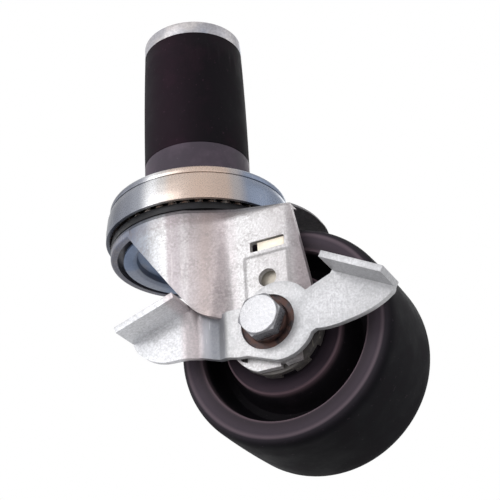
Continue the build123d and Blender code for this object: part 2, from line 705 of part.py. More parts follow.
def wheel_side(sign):
    """Half of the wheel's section from mid-width to its bore, as points and an arc."""
    shoulder = (sign * (TREAD_HALF + 5.6), WHEEL_R - 1.5)
    ThreePointArc((0, WHEEL_R), (sign * TREAD_HALF / 2, WHEEL_R - 0.08),
                  (sign * TREAD_HALF, TREAD_EDGE_R))
    ThreePointArc((sign * TREAD_HALF, TREAD_EDGE_R), shoulder, (sign * FACE_Y, RING_OUT_R))
    Polyline(
        (sign * FACE_Y, RING_OUT_R),
        (sign * FACE_Y, RING_IN_R),
        (sign * WEB_Y, WEB_OUT_R),
        (sign * WEB_Y, WEB_IN_R),
        (sign * FACE_Y, BOSS_R),
        (sign * DISH_Y, DISH_R),
        (sign * DISH_Y, HUB_R),
        (sign * HUB_Y, HUB_R),
        (sign * HUB_Y, BUSH_OUT_R),
    )


with BuildPart() as wheel:
    with BuildSketch(Plane(origin=(TRAIL, 0, -DROP), x_dir=(0, 1, 0), z_dir=(1, 0, 0))):
        with BuildLine():
            wheel_side(-1)
            wheel_side(1)
            Line((-HUB_Y, BUSH_OUT_R), (HUB_Y, BUSH_OUT_R))
        section = make_face()
        sharp = [v for v in section.vertices()
                 if min(abs(v.Z + DROP - r) for r in (RING_IN_R, BOSS_R, HUB_R)) < 0.01
                 and abs(v.Y) > DISH_Y + 0.5]
        soft = [v for v in section.vertices()
                if min(abs(v.Z + DROP - r) for r in (WEB_OUT_R, WEB_IN_R)) < 0.01]
        fillet(sharp, EDGE_ROUND)
        fillet(soft, EDGE_ROUND * 3)
    revolve(axis=Axis((TRAIL, 0, -DROP), (0, 1, 0)))

with BuildPart() as hub_bush:
    washer(HUB_Y - BUSH_INSET, -HUB_Y + BUSH_INSET, BUSH_OUT_R, SLEEVE_R + RUN_PLAY)

# Foot lever: one stamped plate with two bent pedals


def lever_section():
    """Level section of the lever plate with the trough that clears the leg's skirt."""
    outer = [(-70, 0), (TROUGH_X[0], 0), (TROUGH_X[1], TROUGH_DEPTH),
             (TROUGH_X[2], TROUGH_DEPTH), (TROUGH_X[3], 0), (62, 0)]
    front = [(TRAIL + x, -LEVER_OUT_Y + sink) for x, sink in outer]
    back = [(x, y + LEVER_T) for x, y in reversed(front)]
    with BuildLine() as section:
        Polyline(*front, *back, close=True)
    make_face(section.edges())


def along(bend):
    """Length and unit direction of a pedal's bend line in the side view."""
    dx = bend[1][0] - bend[0][0]
    dz = bend[1][1] - bend[0][1]
    length = math.hypot(dx, dz)
    return length, dx / length, dz / length


def above(point, bend, rise):
    """A point moved square off a pedal's bend line."""
    _, ux, uz = along(bend)
    return (point[0] - uz * rise, point[1] + ux * rise)


def lever_outline():
    """Side view of the flat lever plate, from the axle."""
    front_low = above(FRONT_BEND[0], FRONT_BEND, LEVER_T)
    front_high = above(FRONT_BEND[1], FRONT_BEND, LEVER_T)
    back_high = above(BACK_BEND[0], BACK_BEND, LEVER_T)
    back_low = above(BACK_BEND[1], BACK_BEND, LEVER_T)
    with BuildLine() as outline:
        Polyline(front_low, front_high, (TROUGH_X[0] + 3.0, TROUGH_TOP),
                 (TROUGH_X[2] - 4.6, TROUGH_TOP), (TROUGH_X[2] - 4.0, NECK_TOP),
                 (-9.5, NECK_TOP), (4.0, 12.0), (18.4, 10.2),
                 (back_high[0] - 2.6, back_high[1] - 3.4), back_high, back_low,
                 BACK_BEND[1])
        tip = (BACK_BEND[1][0] - 1.7, BACK_BEND[1][1] - 2.6)
        ThreePointArc(BACK_BEND[1], (BACK_BEND[1][0] - 0.4, BACK_BEND[1][1] - 1.5), tip)
        Spline(tip, *LEVER_BACK_UNDER)
        Line(LEVER_BACK_UNDER[-1], LEVER_LOBE[0])
        ThreePointArc(*LEVER_LOBE)
        Polyline(LEVER_LOBE[-1], *LEVER_EYE_UNDER)
        Spline(LEVER_EYE_UNDER[-1], *LEVER_FRONT_UNDER, FRONT_BEND[0],
               tangents=((-1, 0.02), (-0.35, 1)))
        Line(FRONT_BEND[0], front_low)
    make_face(outline.edges())


def pedal(bend):
    """One pedal lip, bent square to the plate along its bend line."""
    length, ux, uz = along(bend)
    root = Plane(origin=(TRAIL + bend[0][0], -LEVER_IN_Y, bend[0][1] - DROP),
                 x_dir=(ux, 0, uz), z_dir=(uz, 0, -ux))
    width = LIP_OUT + LEVER_T
    with BuildSketch(root) as blank:
        with Locations((length / 2, -width / 2 if root.y_dir.Y > 0 else width / 2)):
            lip = Rectangle(length, width)
        far = -1 if root.y_dir.Y > 0 else 0
        fillet(lip.vertices().group_by(Axis.Y)[0], LIP_ROUND)
    extrude(blank.sketch, amount=-LEVER_T)


def cam_ramp(turn):
    """One cam ramp on the lever's inner face, behind a brake post in the swing."""
    start = math.radians(turn - RAMP_LAG)
    radius = POST_TRACK_R - RAMP_W / 2
    foot = Plane(
        origin=(TRAIL + radius * math.cos(start), -LEVER_IN_Y, radius * math.sin(start) - DROP),
        x_dir=(math.sin(start), 0, -math.cos(start)),
        z_dir=(math.cos(start), 0, math.sin(start)),
    )
    rise = RAMP_H if foot.y_dir.Y > 0 else -RAMP_H
    with BuildSketch(foot) as ramp:
        with BuildLine() as outline:
            Polyline((0, 0), (RAMP_RUN[0], rise), (RAMP_RUN[1], rise), (RAMP_RUN[1], 0),
                     close=True)
        make_face(outline.edges())
    extrude(ramp.sketch, amount=RAMP_W)


with BuildPart() as brake_lever:
    with BuildSketch(Plane.XY.offset(-DROP - LEVER_BLANK / 2)):
        lever_section()
    extrude(amount=LEVER_BLANK)
    with BuildSketch(side(0)):
        lever_outline()
        with Locations(LEVER_DISC_AT):
            Circle(LEVER_DISC_R)
    extrude(amount=LEVER_OUT_Y + 1, mode=Mode.INTERSECT)
    pedal(FRONT_BEND)
    pedal(BACK_BEND)
    cam_ramp(0)
    cam_ramp(180)
    # stepped bore: the bush flange holds the lever by the inner ledge
    with BuildSketch(side(-LEDGE_OUT_Y)):
        Circle(LEVER_HOLE_R)
    extrude(amount=LEVER_T, mode=Mode.SUBTRACT)
    with BuildSketch(side(-LEVER_IN_Y + 1)):
        Circle(LEVER_LEDGE_R)
    extrude(amount=LEVER_T, mode=Mode.SUBTRACT)

# Brake plate: slides along the axle sleeve, steered by its tab in the leg's slot
with BuildPart() as brake_plate:
    with BuildSketch(side(-BRAKE_FACE_Y)):
        Circle(BRAKE_R)
        tab_top = SLOT_AT[1] + SLOT_SIZE[1] / 2 - TAB_PLAY
        with Locations(((ARM_X[0] + ARM_X[1]) / 2, tab_top / 2)):
            Rectangle(ARM_X[1] - ARM_X[0], tab_top)
        Circle(SLEEVE_R + RUN_PLAY, mode=Mode.SUBTRACT)
    extrude(amount=BRAKE_T)
    with BuildSketch(side(-BRAKE_BACK_Y)):
        with Locations((SLOT_AT[0] + (TAB_END_GAP - TAB_PLAY) / 2, SLOT_AT[1])):
            Rectangle(SLOT_SIZE[0] - TAB_END_GAP - TAB_PLAY, SLOT_SIZE[1] - 2 * TAB_PLAY)
    extrude(amount=PLATE_Y - TAB_SINK - BRAKE_BACK_Y)
    with BuildSketch(side(-BRAKE_BACK_Y)):
        with Locations((POST_TRACK_R, 0), (-POST_TRACK_R, 0)):
            Circle(POST_R)
    extrude(amount=LEVER_IN_Y - POST_TIP_GAP - BRAKE_BACK_Y)
    with BuildSketch(side(-BRAKE_FACE_Y + TOOTH_LEN)):
        disc(TOOTH_R[1], TOOTH_R[0])
    extrude(amount=TOOTH_LEN + BRAKE_T)
    gap_angle = 360 / TOOTH_COUNT * (1 - TOOTH_SHARE)
    with BuildSketch(side(-BRAKE_FACE_Y + TOOTH_LEN)):
        with PolarLocations((TOOTH_R[0] + TOOTH_R[1]) / 2, TOOTH_COUNT):
            Rectangle(4.0, TOOTH_R[1] * math.radians(gap_angle))
    extrude(amount=TOOTH_LEN, mode=Mode.SUBTRACT)

PIECES = {
    "stem_collar": stem_collar,
    "rubber_sleeve": rubber_sleeve,
    "end_cap": end_cap,
    "stem_washer": stem_washer,
    "stem_bolt": stem_bolt,
    "top_plate": top_plate,
    "shell": shell,
    "upper_race": upper_race,
    "head_balls": head_balls,
    "lower_race": lower_race,
    "kingpin": kingpin,
    "retainer": retainer,
    "crown_balls": crown_balls,
    "fork": fork,
    "axle_sleeve": axle_sleeve,
    "lever_bush": lever_bush,
    "head_washer": head_washer,
    "nut_washer": nut_washer,
    "axle_bolt": axle_bolt,
    "axle_nut": axle_nut,
    "hub_spacer": hub_spacer,
    "thread_guard": thread_guard,
    "wheel": wheel,
    "hub_bush": hub_bush,
    "brake_lever": brake_lever,
    "brake_plate": brake_plate,
}

for piece_name, builder in PIECES.items():
    builder.part.label = piece_name
    export_step(builder.part, f"parts/{piece_name}.step")
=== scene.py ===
"""Looks of a swivel castor with an expanding rubber stem and a foot brake.

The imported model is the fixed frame. Turned and stamped pieces are finished copies of its
nodes with rounded edges, the wheel and the fork are modelled here, and every piece has a
procedural finish. Sizes are in millimetres until they reach a mesh, which is in metres.
The origin is on the swivel axis at the top of the head, +Z runs up the stem, +X is the
trailing side and -Y the brake side.
"""

import json
import logging
import math
from dataclasses import dataclass
from enum import Enum
from typing import Sequence

import bmesh
import bpy
from mathutils import Matrix, Vector

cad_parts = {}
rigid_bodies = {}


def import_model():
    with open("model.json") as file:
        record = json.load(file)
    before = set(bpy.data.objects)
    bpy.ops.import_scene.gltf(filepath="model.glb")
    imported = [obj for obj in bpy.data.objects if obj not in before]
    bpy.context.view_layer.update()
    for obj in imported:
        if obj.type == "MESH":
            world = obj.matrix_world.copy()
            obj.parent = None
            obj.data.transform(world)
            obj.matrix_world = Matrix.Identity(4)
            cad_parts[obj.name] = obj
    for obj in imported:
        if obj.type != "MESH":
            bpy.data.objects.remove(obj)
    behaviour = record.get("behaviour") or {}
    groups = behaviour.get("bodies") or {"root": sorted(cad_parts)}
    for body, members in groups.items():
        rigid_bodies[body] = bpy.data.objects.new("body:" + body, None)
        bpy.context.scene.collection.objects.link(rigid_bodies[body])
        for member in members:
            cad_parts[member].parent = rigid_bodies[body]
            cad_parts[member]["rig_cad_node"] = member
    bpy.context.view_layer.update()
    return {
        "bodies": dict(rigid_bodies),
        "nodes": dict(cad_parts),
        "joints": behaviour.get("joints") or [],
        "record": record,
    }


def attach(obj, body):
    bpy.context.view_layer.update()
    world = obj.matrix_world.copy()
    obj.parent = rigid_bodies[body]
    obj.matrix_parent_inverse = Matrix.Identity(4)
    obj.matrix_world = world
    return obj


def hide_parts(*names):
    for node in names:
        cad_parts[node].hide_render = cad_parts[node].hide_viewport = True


LOG = logging.getLogger("castor")
MM = 0.001
AXLE = Vector((50.5, 0.0, -87.5))
FLOOR_Z = -137.5
FLOOR_GAP_M = 0.0002  # the drawn floor lies this much below the wheel
MERGE_M = 2e-6  # points of a node that are closer than this are one point
FLAT_DEG = 0.4  # faces that turn by less than this lie in one plane
CREASE_DEG = 32.0  # the usual limit above which an edge stays sharp
FORK_CREASE_DEG = 35.0
WHEEL_CREASE_DEG = 40.0
BEND_DEG = (24.0, 42.0)  # the bends of a pressed sheet turn by this much
BEND_MM = 5.0  # and are longer than this
FLAKE_MM = 1.0  # size of the plating's crystal flakes
FRONT_DEG = 230.0  # where a leg's round front starts, round the swivel axis
FRONT_STEPS = 24  # steps of a leg's level along the round front
PLATE_STEPS = (12, 7, 44, 14)  # and along the straight stretches behind it
LEG_DEPTH = (-50.0, -20.0)  # the leg's cuts run from one to the other, across the wheel

Colour = tuple[float, float, float]
Point2 = tuple[float, float]
Point3 = tuple[float, float, float]


class Body(Enum):
    """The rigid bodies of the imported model."""

    HEAD = "head"
    FORK = "fork_body"
    WHEEL = "wheel_body"
    LEVER = "lever_body"
    BRAKE = "brake_body"


def srgb(red: int, green: int, blue: int) -> Colour:
    """Linear colour of a screen colour with channels from 0 to 255."""
    return tuple(
        c / 12.92 if c <= 0.04045 else ((c + 0.055) / 1.055) ** 2.4
        for c in (red / 255, green / 255, blue / 255)
    )


def scaled(colour: Colour, by: float) -> Colour:
    """A colour made darker or lighter by a factor, at most white."""
    return tuple(min(1.0, by * c) for c in colour)


class Way(Enum):
    """The direction along which painted light changes."""

    X = "X"
    Y = "Y"
    Z = "Z"
    TURN = "TURN"
    AXLE = "AXLE"


@dataclass(frozen=True)
class PaintedLight:
    """Painted light and shade, as a slow change of a finish's colour along one direction.

    Attributes:
        way: the direction, the turn round the swivel axis in degrees, or the distance
            from the axle.
        stops: place, in millimetres or degrees, and screen colour of each stop, in order.
        amount: share of the painted light in the colour, 0 to 1.
    """

    way: Way
    stops: tuple[tuple[float, int, int, int], ...]
    amount: float = 1.0


class Board:
    """A material's node tree, with short calls to add and link its nodes."""

    def __init__(self, name: str) -> None:
        """Start a material that has only its shader and its output.

        Args:
            name: the material's name.
        """
        self.material = bpy.data.materials.new(name)
        self.material.use_nodes = True
        self.tree = self.material.node_tree
        self.shader = self.tree.nodes["Principled BSDF"]
        self.place = self.tree.nodes.new("ShaderNodeTexCoord").outputs["Object"]

    def add(self, kind: str, **inputs: object) -> bpy.types.Node:
        """Add a node and fill or link its inputs.

        Args:
            kind: the node's type, without the ShaderNode prefix.
            **inputs: values or output sockets by input name, with _ for a space.

        Returns:
            The new node.
        """
        node = self.tree.nodes.new("ShaderNode" + kind)
        self.fill(node, **inputs)
        return node

    def fill(self, node: bpy.types.Node, **inputs: object) -> None:
        """Fill or link a node's inputs, by name, with _ for a space."""
        for name, value in inputs.items():
            self.put(node.inputs[name.replace("_", " ")], value)

    def put(self, socket: bpy.types.NodeSocket, value: object) -> None:
        """Give a socket a value, or link an output to it."""
        if isinstance(value, bpy.types.NodeSocket):
            self.tree.links.new(value, socket)
        else:
            socket.default_value = value

    def noise(self, size_mm: float, detail: float = 3.0, rough: float = 0.5,
              place: bpy.types.NodeSocket | None = None) -> bpy.types.NodeSocket:
        """Cloudy pattern on the object's own coordinates.

        Args:
            size_mm: how far apart its light and dark patches are.
            detail: octaves of finer cloud.
            rough: how strong the finer octaves are.
            place: coordinates to read in place of the object's.

        Returns:
            The pattern's value socket, about 0 to 1.
        """
        node = self.add("TexNoise", Vector=place or self.place, Scale=1.0 / (size_mm * MM),
                        Detail=detail, Roughness=rough)
        return node.outputs["Fac"]

    def ramp(self, value: bpy.types.NodeSocket, low: float, high: float,
             dark: float = 0.0, light: float = 1.0) -> bpy.types.NodeSocket:
        """Stretch a pattern between two of its values.

        Args:
            value: the pattern.
            low: the pattern value that gives dark.
            high: the pattern value that gives light.
            dark: the result at low.
            light: the result at high.

        Returns:
            The stretched value's socket.
        """
        node = self.add("MapRange", Value=value, From_Min=low, From_Max=high,
                        To_Min=dark, To_Max=light)
        node.interpolation_type = "SMOOTHSTEP"
        return node.outputs["Result"]

    def blend(self, factor: object, first: object, second: object,
              mode: str = "MIX") -> bpy.types.NodeSocket:
        """Mix two colours.

        Args:
            factor: how much of the second colour, a number or a socket.
            first: a colour or socket.
            second: a colour or socket.
            mode: the Mix node's way of mixing.

        Returns:
            The mixed colour's socket.
        """
        node = self.add("Mix")
        node.data_type = "RGBA"
        node.blend_type = mode
        for socket, value in zip((node.inputs[0], node.inputs[6], node.inputs[7]),
                                 (factor, first, second)):
            if isinstance(value, tuple):
                value = (*value, 1.0)
            self.put(socket, value)
        return node.outputs[2]

    def math(self, operation: str, first: object, second: object) -> bpy.types.NodeSocket:
        """Combine two values with one operation of the Math node."""
        node = self.add("Math")
        node.operation = operation
        self.put(node.inputs[0], first)
        self.put(node.inputs[1], second)
        return node.outputs[0]

    def painted_light(self, painted_light: PaintedLight) -> bpy.types.NodeSocket:
        """Colour of the painted light at each point.

        Args:
            painted_light: the tint's direction and stops.

        Returns:
            The colour socket.
        """
        axes = self.add("SeparateXYZ", Vector=self.place)
        if painted_light.way is Way.TURN:
            value = self.math("ARCTAN2", axes.outputs["Y"], axes.outputs["X"])
            unit = math.radians(1.0)
        elif painted_light.way is Way.AXLE:
            side = self.add("Mapping", Vector=self.place, Scale=(1.0, 0.0, 1.0),
                            Location=tuple(-AXLE * MM))
            reach = self.add("VectorMath", Vector=side.outputs["Vector"])
            reach.operation = "LENGTH"
            value, unit = reach.outputs["Value"], MM
        else:
            value, unit = axes.outputs[painted_light.way.value], MM
        low, high = painted_light.stops[0][0], painted_light.stops[-1][0]
        span = self.add("MapRange", Value=value, From_Min=low * unit, From_Max=high * unit)
        ramp = self.add("ValToRGB", Fac=span.outputs["Result"])
        ramp.color_ramp.interpolation = "EASE"
        marks = ramp.color_ramp.elements
        while len(marks) < len(painted_light.stops):
            marks.new(0.5)
        for mark, (place, *channels) in zip(marks, painted_light.stops):
            mark.position = (place - low) / (high - low)
            mark.color = (*srgb(*channels), 1.0)
        return ramp.outputs["Color"]

    def relief(self, height: bpy.types.NodeSocket, depth_mm: float,
               under: bpy.types.NodeSocket | None = None) -> bpy.types.NodeSocket:
        """Bump from a pattern.

        Args:
            height: the pattern.
            depth_mm: height of its full range.
            under: a bump that this one is laid over.

        Returns:
            The normal socket.
        """
        node = self.add("Bump", Height=height, Strength=1.0, Distance=depth_mm * MM)
        if under is not None:
            self.fill(node, Normal=under)
        return node.outputs["Normal"]

    def mix_shaders(self, *parts: bpy.types.NodeSocket) -> bpy.types.NodeSocket:
        """Mix two shaders, given the second one's share, the first and the second."""
        node = self.add("MixShader")
        for socket, part in zip(node.inputs, parts):
            self.put(socket, part)
        return node.outputs[0]


@dataclass(frozen=True)
class Finish:
    """A look that is built as a material. Each kind of finish lays its own nodes.

    Attributes:
        name: the material's name.
        base: the finish's main colour.
    """

    name: str
    base: Colour

    def material(self) -> bpy.types.Material:
        """Build the finish.

        Returns:
            The material.
        """
        board = Board(self.name)
        self.lay(board)
        return board.material

    def lay(self, board: Board) -> None:
        """Lay the finish's nodes on a board."""
        raise NotImplementedError


@dataclass(frozen=True)
class Zinc(Finish):
    """Zinc plate: mottled grain, cool and warm patches, crystal flakes and faint scuffs.

    Attributes:
        cool: colour of its bluish patches.
        warm: colour of its yellowish patches.
        patch_mm: size of those patches.
        grain_mm: size of the mottled grain.
        grain: how dark the grain's spots are, 0 to 1.
        roughness: how matt the plate is.
        metallic: share of metal reflection.
        scuffs: strength of the fine scratches.
        spangle: how strongly its crystal flakes differ, 0 to 1.
        painted_light: painted highlights, reflections and shade, a slow change of the plate's
            colour, if any.
        shade: painted shade, a colour multiplied into the plate along a second direction, if
            any.
    """

    cool: Colour
    warm: Colour
    patch_mm: float = 30.0
    grain_mm: float = 1.1
    grain: float = 0.25
    roughness: float = 0.36
    metallic: float = 0.5
    scuffs: float = 0.5
    spangle: float = 0.0
    painted_light: PaintedLight | None = None
    shade: PaintedLight | None = None

    def lay(self, board: Board) -> None:
        """Lay the plate's nodes."""
        patches = board.noise(self.patch_mm, detail=2.0, rough=0.4)
        colour = board.blend(board.ramp(patches, low=0.5, high=0.68), self.base, self.warm)
        colour = board.blend(board.ramp(patches, low=0.48, high=0.32), colour, self.cool)
        # painted highlights, reflections and shade, laid into the plate's colour
        if self.painted_light is not None:
            colour = board.blend(self.painted_light.amount, colour, board.painted_light(self.painted_light))
        grain = board.noise(self.grain_mm, detail=4.0, rough=0.62)
        spots = board.ramp(grain, low=0.36, high=0.66, dark=self.grain, light=0.0)
        colour = board.blend(spots, colour, scaled(self.base, 0.45))
        if self.spangle > 0:
            flakes = board.add("TexVoronoi", Vector=board.place, Scale=1.0 / (FLAKE_MM * MM))
            flake = board.add("SeparateColor", Color=flakes.outputs["Color"]).outputs["Red"]
            cloud = board.noise(9.0, rough=0.6)
            drift = board.ramp(cloud, low=0.35, high=0.65, dark=0.15, light=1.0)
            dull = board.ramp(flake, low=0.1, high=1.0, dark=self.spangle, light=0.0)
            dull = board.math("MULTIPLY", dull, drift)
            colour = board.blend(dull, colour, scaled(self.base, 0.4))
        upright = board.add("Mapping", Vector=board.place, Scale=(1.0, 1.0, 0.08))
        streaks = board.noise(0.9, detail=2.0, rough=0.6, place=upright.outputs["Vector"])
        scratch = board.ramp(streaks, low=0.62, high=0.7, light=self.scuffs * 0.35)
        colour = board.blend(scratch, colour, scaled(self.base, 1.3))
        # painted shade, multiplied into the colour
        if self.shade is not None:
            shade = board.painted_light(self.shade)
            colour = board.blend(self.shade.amount, colour, shade, mode="MULTIPLY")
        matt = board.ramp(grain, low=0.3, high=0.7, dark=self.roughness + 0.1,
                          light=self.roughness - 0.05)
        waves = board.relief(board.noise(6.0, detail=1.0), depth_mm=0.03,
                             under=board.relief(grain, depth_mm=0.018))
        board.fill(board.shader, Base_Color=colour, Metallic=self.metallic, Roughness=matt,
                   Normal=waves)


@dataclass(frozen=True)
class Moulded(Finish):
    """Rubber or plastic: dark, finely pitted, with faint lighter rubbed patches.

    Attributes:
        rubbed: colour of its worn patches.
        roughness: how matt it is.
        pit_mm: size of its surface pits.
        worn: how much of it is rubbed, 0 to 1.
        gloss: strength of its surface reflection.
        painted_light: painted highlights and shade, a slow change of its colour, if it has one.
    """

    rubbed: Colour
    roughness: float = 0.5
    pit_mm: float = 0.5
    worn: float = 0.5
    gloss: float = 0.16
    painted_light: PaintedLight | None = None

    def lay(self, board: Board) -> None:
        """Lay the moulding's nodes."""
        cloud = board.noise(14.0, detail=4.0, rough=0.6)
        fine = board.noise(self.pit_mm, rough=0.6)
        colour = board.blend(board.ramp(cloud, low=0.45, high=0.7, light=self.worn),
                             self.base, self.rubbed)
        # painted highlights and shade, laid into the moulding's colour
        if self.painted_light is not None:
            colour = board.blend(self.painted_light.amount, colour, board.painted_light(self.painted_light))
        specks = board.ramp(board.noise(1.6, detail=2.0), low=0.68, high=0.74,
                            light=0.3 * self.worn)
        colour = board.blend(specks, colour, scaled(self.rubbed, 2.4))
        matt = board.ramp(cloud, low=0.3, high=0.7, dark=self.roughness - 0.06,
                          light=self.roughness + 0.08)
        waves = board.relief(cloud, depth_mm=0.04, under=board.relief(fine, depth_mm=0.012))
        board.fill(board.shader, Base_Color=colour, Roughness=matt, Normal=waves,
                   Specular_IOR_Level=self.gloss)


@dataclass(frozen=True)
class Oiled(Finish):
    """Bare metal with a film of oil, for the races, the balls, the bush and the washers.

    Attributes:
        film: colour of the oil film.
        roughness: how matt it is.
        metallic: share of metal reflection.
    """

    film: Colour
    roughness: float = 0.42
    metallic: float = 0.55

    def lay(self, board: Board) -> None:
        """Lay the metal's nodes."""
        smear = board.noise(4.0, rough=0.6)
        colour = board.blend(board.ramp(smear, low=0.36, high=0.64), self.base, self.film)
        matt = board.ramp(smear, low=0.35, high=0.65, dark=self.roughness + 0.1,
                          light=self.roughness - 0.1)
        pits = board.relief(board.noise(0.7), depth_mm=0.012)
        board.fill(board.shader, Base_Color=colour, Metallic=self.metallic, Roughness=matt,
                   Normal=pits)


# Painted light round the head: a painted highlight band near -92 degrees, painted warm and
# bluish reflections beside it and darker painted shade at the sides.
HEAD_PAINTED_LIGHT = PaintedLight(Way.TURN, (
    (-180, 104, 112, 126), (-150, 56, 62, 78), (-124, 60, 66, 82), (-112, 108, 112, 124),
    (-102, 142, 145, 154), (-92, 230, 230, 232), (-85, 204, 199, 196), (-79, 206, 188, 176),
    (-62, 202, 178, 162), (-47, 190, 168, 154), (-40, 166, 160, 160), (-31, 112, 124, 146),
    (-5, 96, 112, 138), (60, 168, 166, 164), (120, 136, 142, 152), (180, 104, 112, 126),
), 0.94)
# Painted light along the fork, front to back: painted shade and bluish reflection on the
# crown's front, a painted highlight on the leg's round front, painted mauve and beige
# reflections on the leg and a brighter plate.
FORK_PAINTED_LIGHT = PaintedLight(Way.X, (
    (-45, 44, 58, 84), (-32, 58, 72, 100), (-16, 104, 118, 144), (-8, 160, 169, 184),
    (-1, 208, 211, 216), (3.5, 222, 223, 226), (5.5, 176, 168, 173), (9, 168, 160, 165),
    (12.5, 190, 185, 188), (16, 170, 160, 162), (22, 166, 151, 149), (29, 182, 170, 173),
    (33.5, 198, 193, 196), (38, 210, 210, 212), (58, 188, 186, 188), (66, 168, 156, 161),
), 0.92)
# Painted light along the lever: the front pedal painted brighter and painted shade in the
# trough before the disc.
LEVER_PAINTED_LIGHT = PaintedLight(Way.X, (
    (-15, 222, 223, 227), (8, 222, 222, 226), (12, 204, 194, 197), (16, 190, 178, 181),
    (20, 132, 132, 140), (24, 88, 92, 102), (29, 106, 109, 117), (31.5, 186, 186, 188),
    (36, 197, 196, 198), (73, 184, 184, 187), (110, 190, 190, 193),
), 0.92)
# Painted shade on the fork, by height: the crown's underside and the legs' top shoulder are
# darkened.
FORK_PAINTED_SHADE = PaintedLight(Way.Z, (
    (-110.0, 255, 255, 255), (-33.0, 255, 255, 255), (-28.6, 236, 232, 232),
    (-25.5, 224, 222, 224), (-24.6, 150, 150, 154), (-20.0, 150, 150, 154),
))
# Painted light across the fasteners: a pale bolt face with a dark ring, and painted shade on
# the head's sides.
BOLT_PAINTED_LIGHT = PaintedLight(Way.Y, (
    (-49.7, 178, 178, 181), (-49.5, 176, 176, 179), (-49.3, 96, 96, 102),
    (-48.9, 190, 190, 194), (-47.6, 88, 87, 92), (-42.0, 78, 77, 82), (50.0, 150, 150, 154),
), 0.95)
# Painted shade on the brake plate, by height: dark near the axle, where it lies in shade beside
# the dark wheel, cream up at the tab.
BRAKE_PAINTED_SHADE = PaintedLight(Way.Z, (
    (-115.0, 56, 54, 58), (-70.0, 62, 60, 64), (-63.0, 214, 206, 192), (-45.0, 236, 226, 208),
), 0.95)
# Painted light by distance from the axle: painted highlight rings at the boss's and the ring's
# edges, painted shade in the recess between them, and the ring's face painted lighter than the
# near-black tread.
WHEEL_PAINTED_LIGHT = PaintedLight(Way.AXLE, (
    (0.0, 40, 36, 41), (18.6, 34, 30, 35), (21.0, 54, 46, 54), (26.2, 62, 52, 60),
    (27.0, 112, 92, 100), (27.9, 20, 18, 21), (38.2, 14, 13, 16), (39.0, 120, 104, 112),
    (40.2, 66, 59, 65), (44.4, 76, 68, 76), (46.0, 104, 92, 100), (47.2, 52, 48, 54),
    (49.3, 13, 13, 17), (50.5, 11, 11, 15),
), 0.85)
# The rubber's purple tone, with painted light round the sleeve: lighter towards -95 degrees,
# painted shade darkest from -45 to 10 degrees.
SLEEVE_PAINTED_LIGHT = PaintedLight(Way.TURN, (
    (-180, 26, 25, 29), (-150, 28, 27, 31), (-95, 36, 25, 33), (-45, 15, 13, 17),
    (10, 9, 9, 12), (90, 20, 18, 22), (180, 26, 25, 29),
), 0.7)
FINISHES: dict[str, Finish] = {
    "stem_collar": Moulded("collar_grey", srgb(70, 63, 72), srgb(96, 84, 96), 0.55, 0.8,
                           gloss=0.12),
    "rubber": Moulded("sleeve_rubber", srgb(24, 19, 25), srgb(50, 34, 44), 0.7, 0.5, 0.9,
                      gloss=0.06, painted_light=SLEEVE_PAINTED_LIGHT),
    "zinc_cap": Zinc("zinc_cap", srgb(176, 174, 180), srgb(140, 150, 168), srgb(205, 200, 200),
                     patch_mm=14.0, grain=0.35, spangle=0.3),
    "fastener_zinc": Zinc("zinc_fastener", srgb(200, 200, 203), srgb(180, 184, 192),
                          srgb(206, 204, 202), patch_mm=8.0, grain=0.08, roughness=0.28,
                          painted_light=BOLT_PAINTED_LIGHT),
    "zinc_head": Zinc("zinc_head", srgb(160, 158, 162), srgb(125, 135, 152),
                      srgb(190, 176, 166), patch_mm=26.0, grain_mm=0.6, grain=0.1,
                      roughness=0.27, painted_light=HEAD_PAINTED_LIGHT),
    "race_steel": Oiled("race_steel", srgb(30, 30, 34), srgb(16, 16, 19), 0.5),
    "ball_steel": Oiled("ball_steel", srgb(250, 244, 238), srgb(214, 178, 158), 0.2, 0.8),
    "zinc_dark": Zinc("zinc_dark", srgb(104, 120, 148), srgb(84, 102, 132), srgb(128, 134, 150),
                      patch_mm=18.0, grain=0.15, roughness=0.4, metallic=0.4),
    "zinc_fork": Zinc("zinc_fork", srgb(196, 188, 188), srgb(170, 176, 186),
                      srgb(206, 196, 190), patch_mm=34.0, grain_mm=0.9, grain=0.4,
                      metallic=0.35, spangle=0.5, painted_light=FORK_PAINTED_LIGHT, shade=FORK_PAINTED_SHADE),
    "bronze": Oiled("bronze", srgb(80, 56, 50), srgb(36, 30, 34), 0.45),
    "black_plastic": Moulded("black_plastic", srgb(40, 40, 42), srgb(58, 58, 60), 0.45),
    "wheel_rubber": Moulded("wheel_rubber", srgb(22, 20, 25), srgb(60, 50, 57), 0.62, 0.6, 0.6,
                            gloss=0.04, painted_light=WHEEL_PAINTED_LIGHT),
    "zinc_lever": Zinc("zinc_lever", srgb(206, 206, 209), srgb(196, 199, 205),
                       srgb(212, 210, 208), patch_mm=20.0, grain_mm=0.9, grain=0.34,
                       roughness=0.45, metallic=0.5, spangle=0.26, painted_light=LEVER_PAINTED_LIGHT),
    "zinc_cream": Zinc("zinc_cream", srgb(228, 218, 202), srgb(210, 206, 198),
                       srgb(232, 222, 204), patch_mm=10.0, grain=0.12, roughness=0.4,
                       metallic=0.3, painted_light=BRAKE_PAINTED_SHADE),
}


class Paintbox:
    """Builds each finish once and hands it to the pieces."""

    def __init__(self, record: dict) -> None:
        """Read which finish each node takes.

        Args:
            record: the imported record.
        """
        self.slots = {part["node"]: part["material_slot"] for part in record["subparts"]}
        self.made: dict[str, bpy.types.Material] = {}

    def finish(self, slot: str) -> bpy.types.Material:
        """Return the material of a slot, built on first use."""
        if slot not in self.made:
            self.made[slot] = FINISHES[slot].material()
        return self.made[slot]

    def dress(self, piece: bpy.types.Object, node: str) -> None:
        """Give a piece the finish of a node.

        Args:
            piece: the mesh object.
            node: the node whose slot it takes.
        """
        slot = self.slots[node]
        piece.data.materials.clear()
        piece.data.materials.append(self.finish(slot))


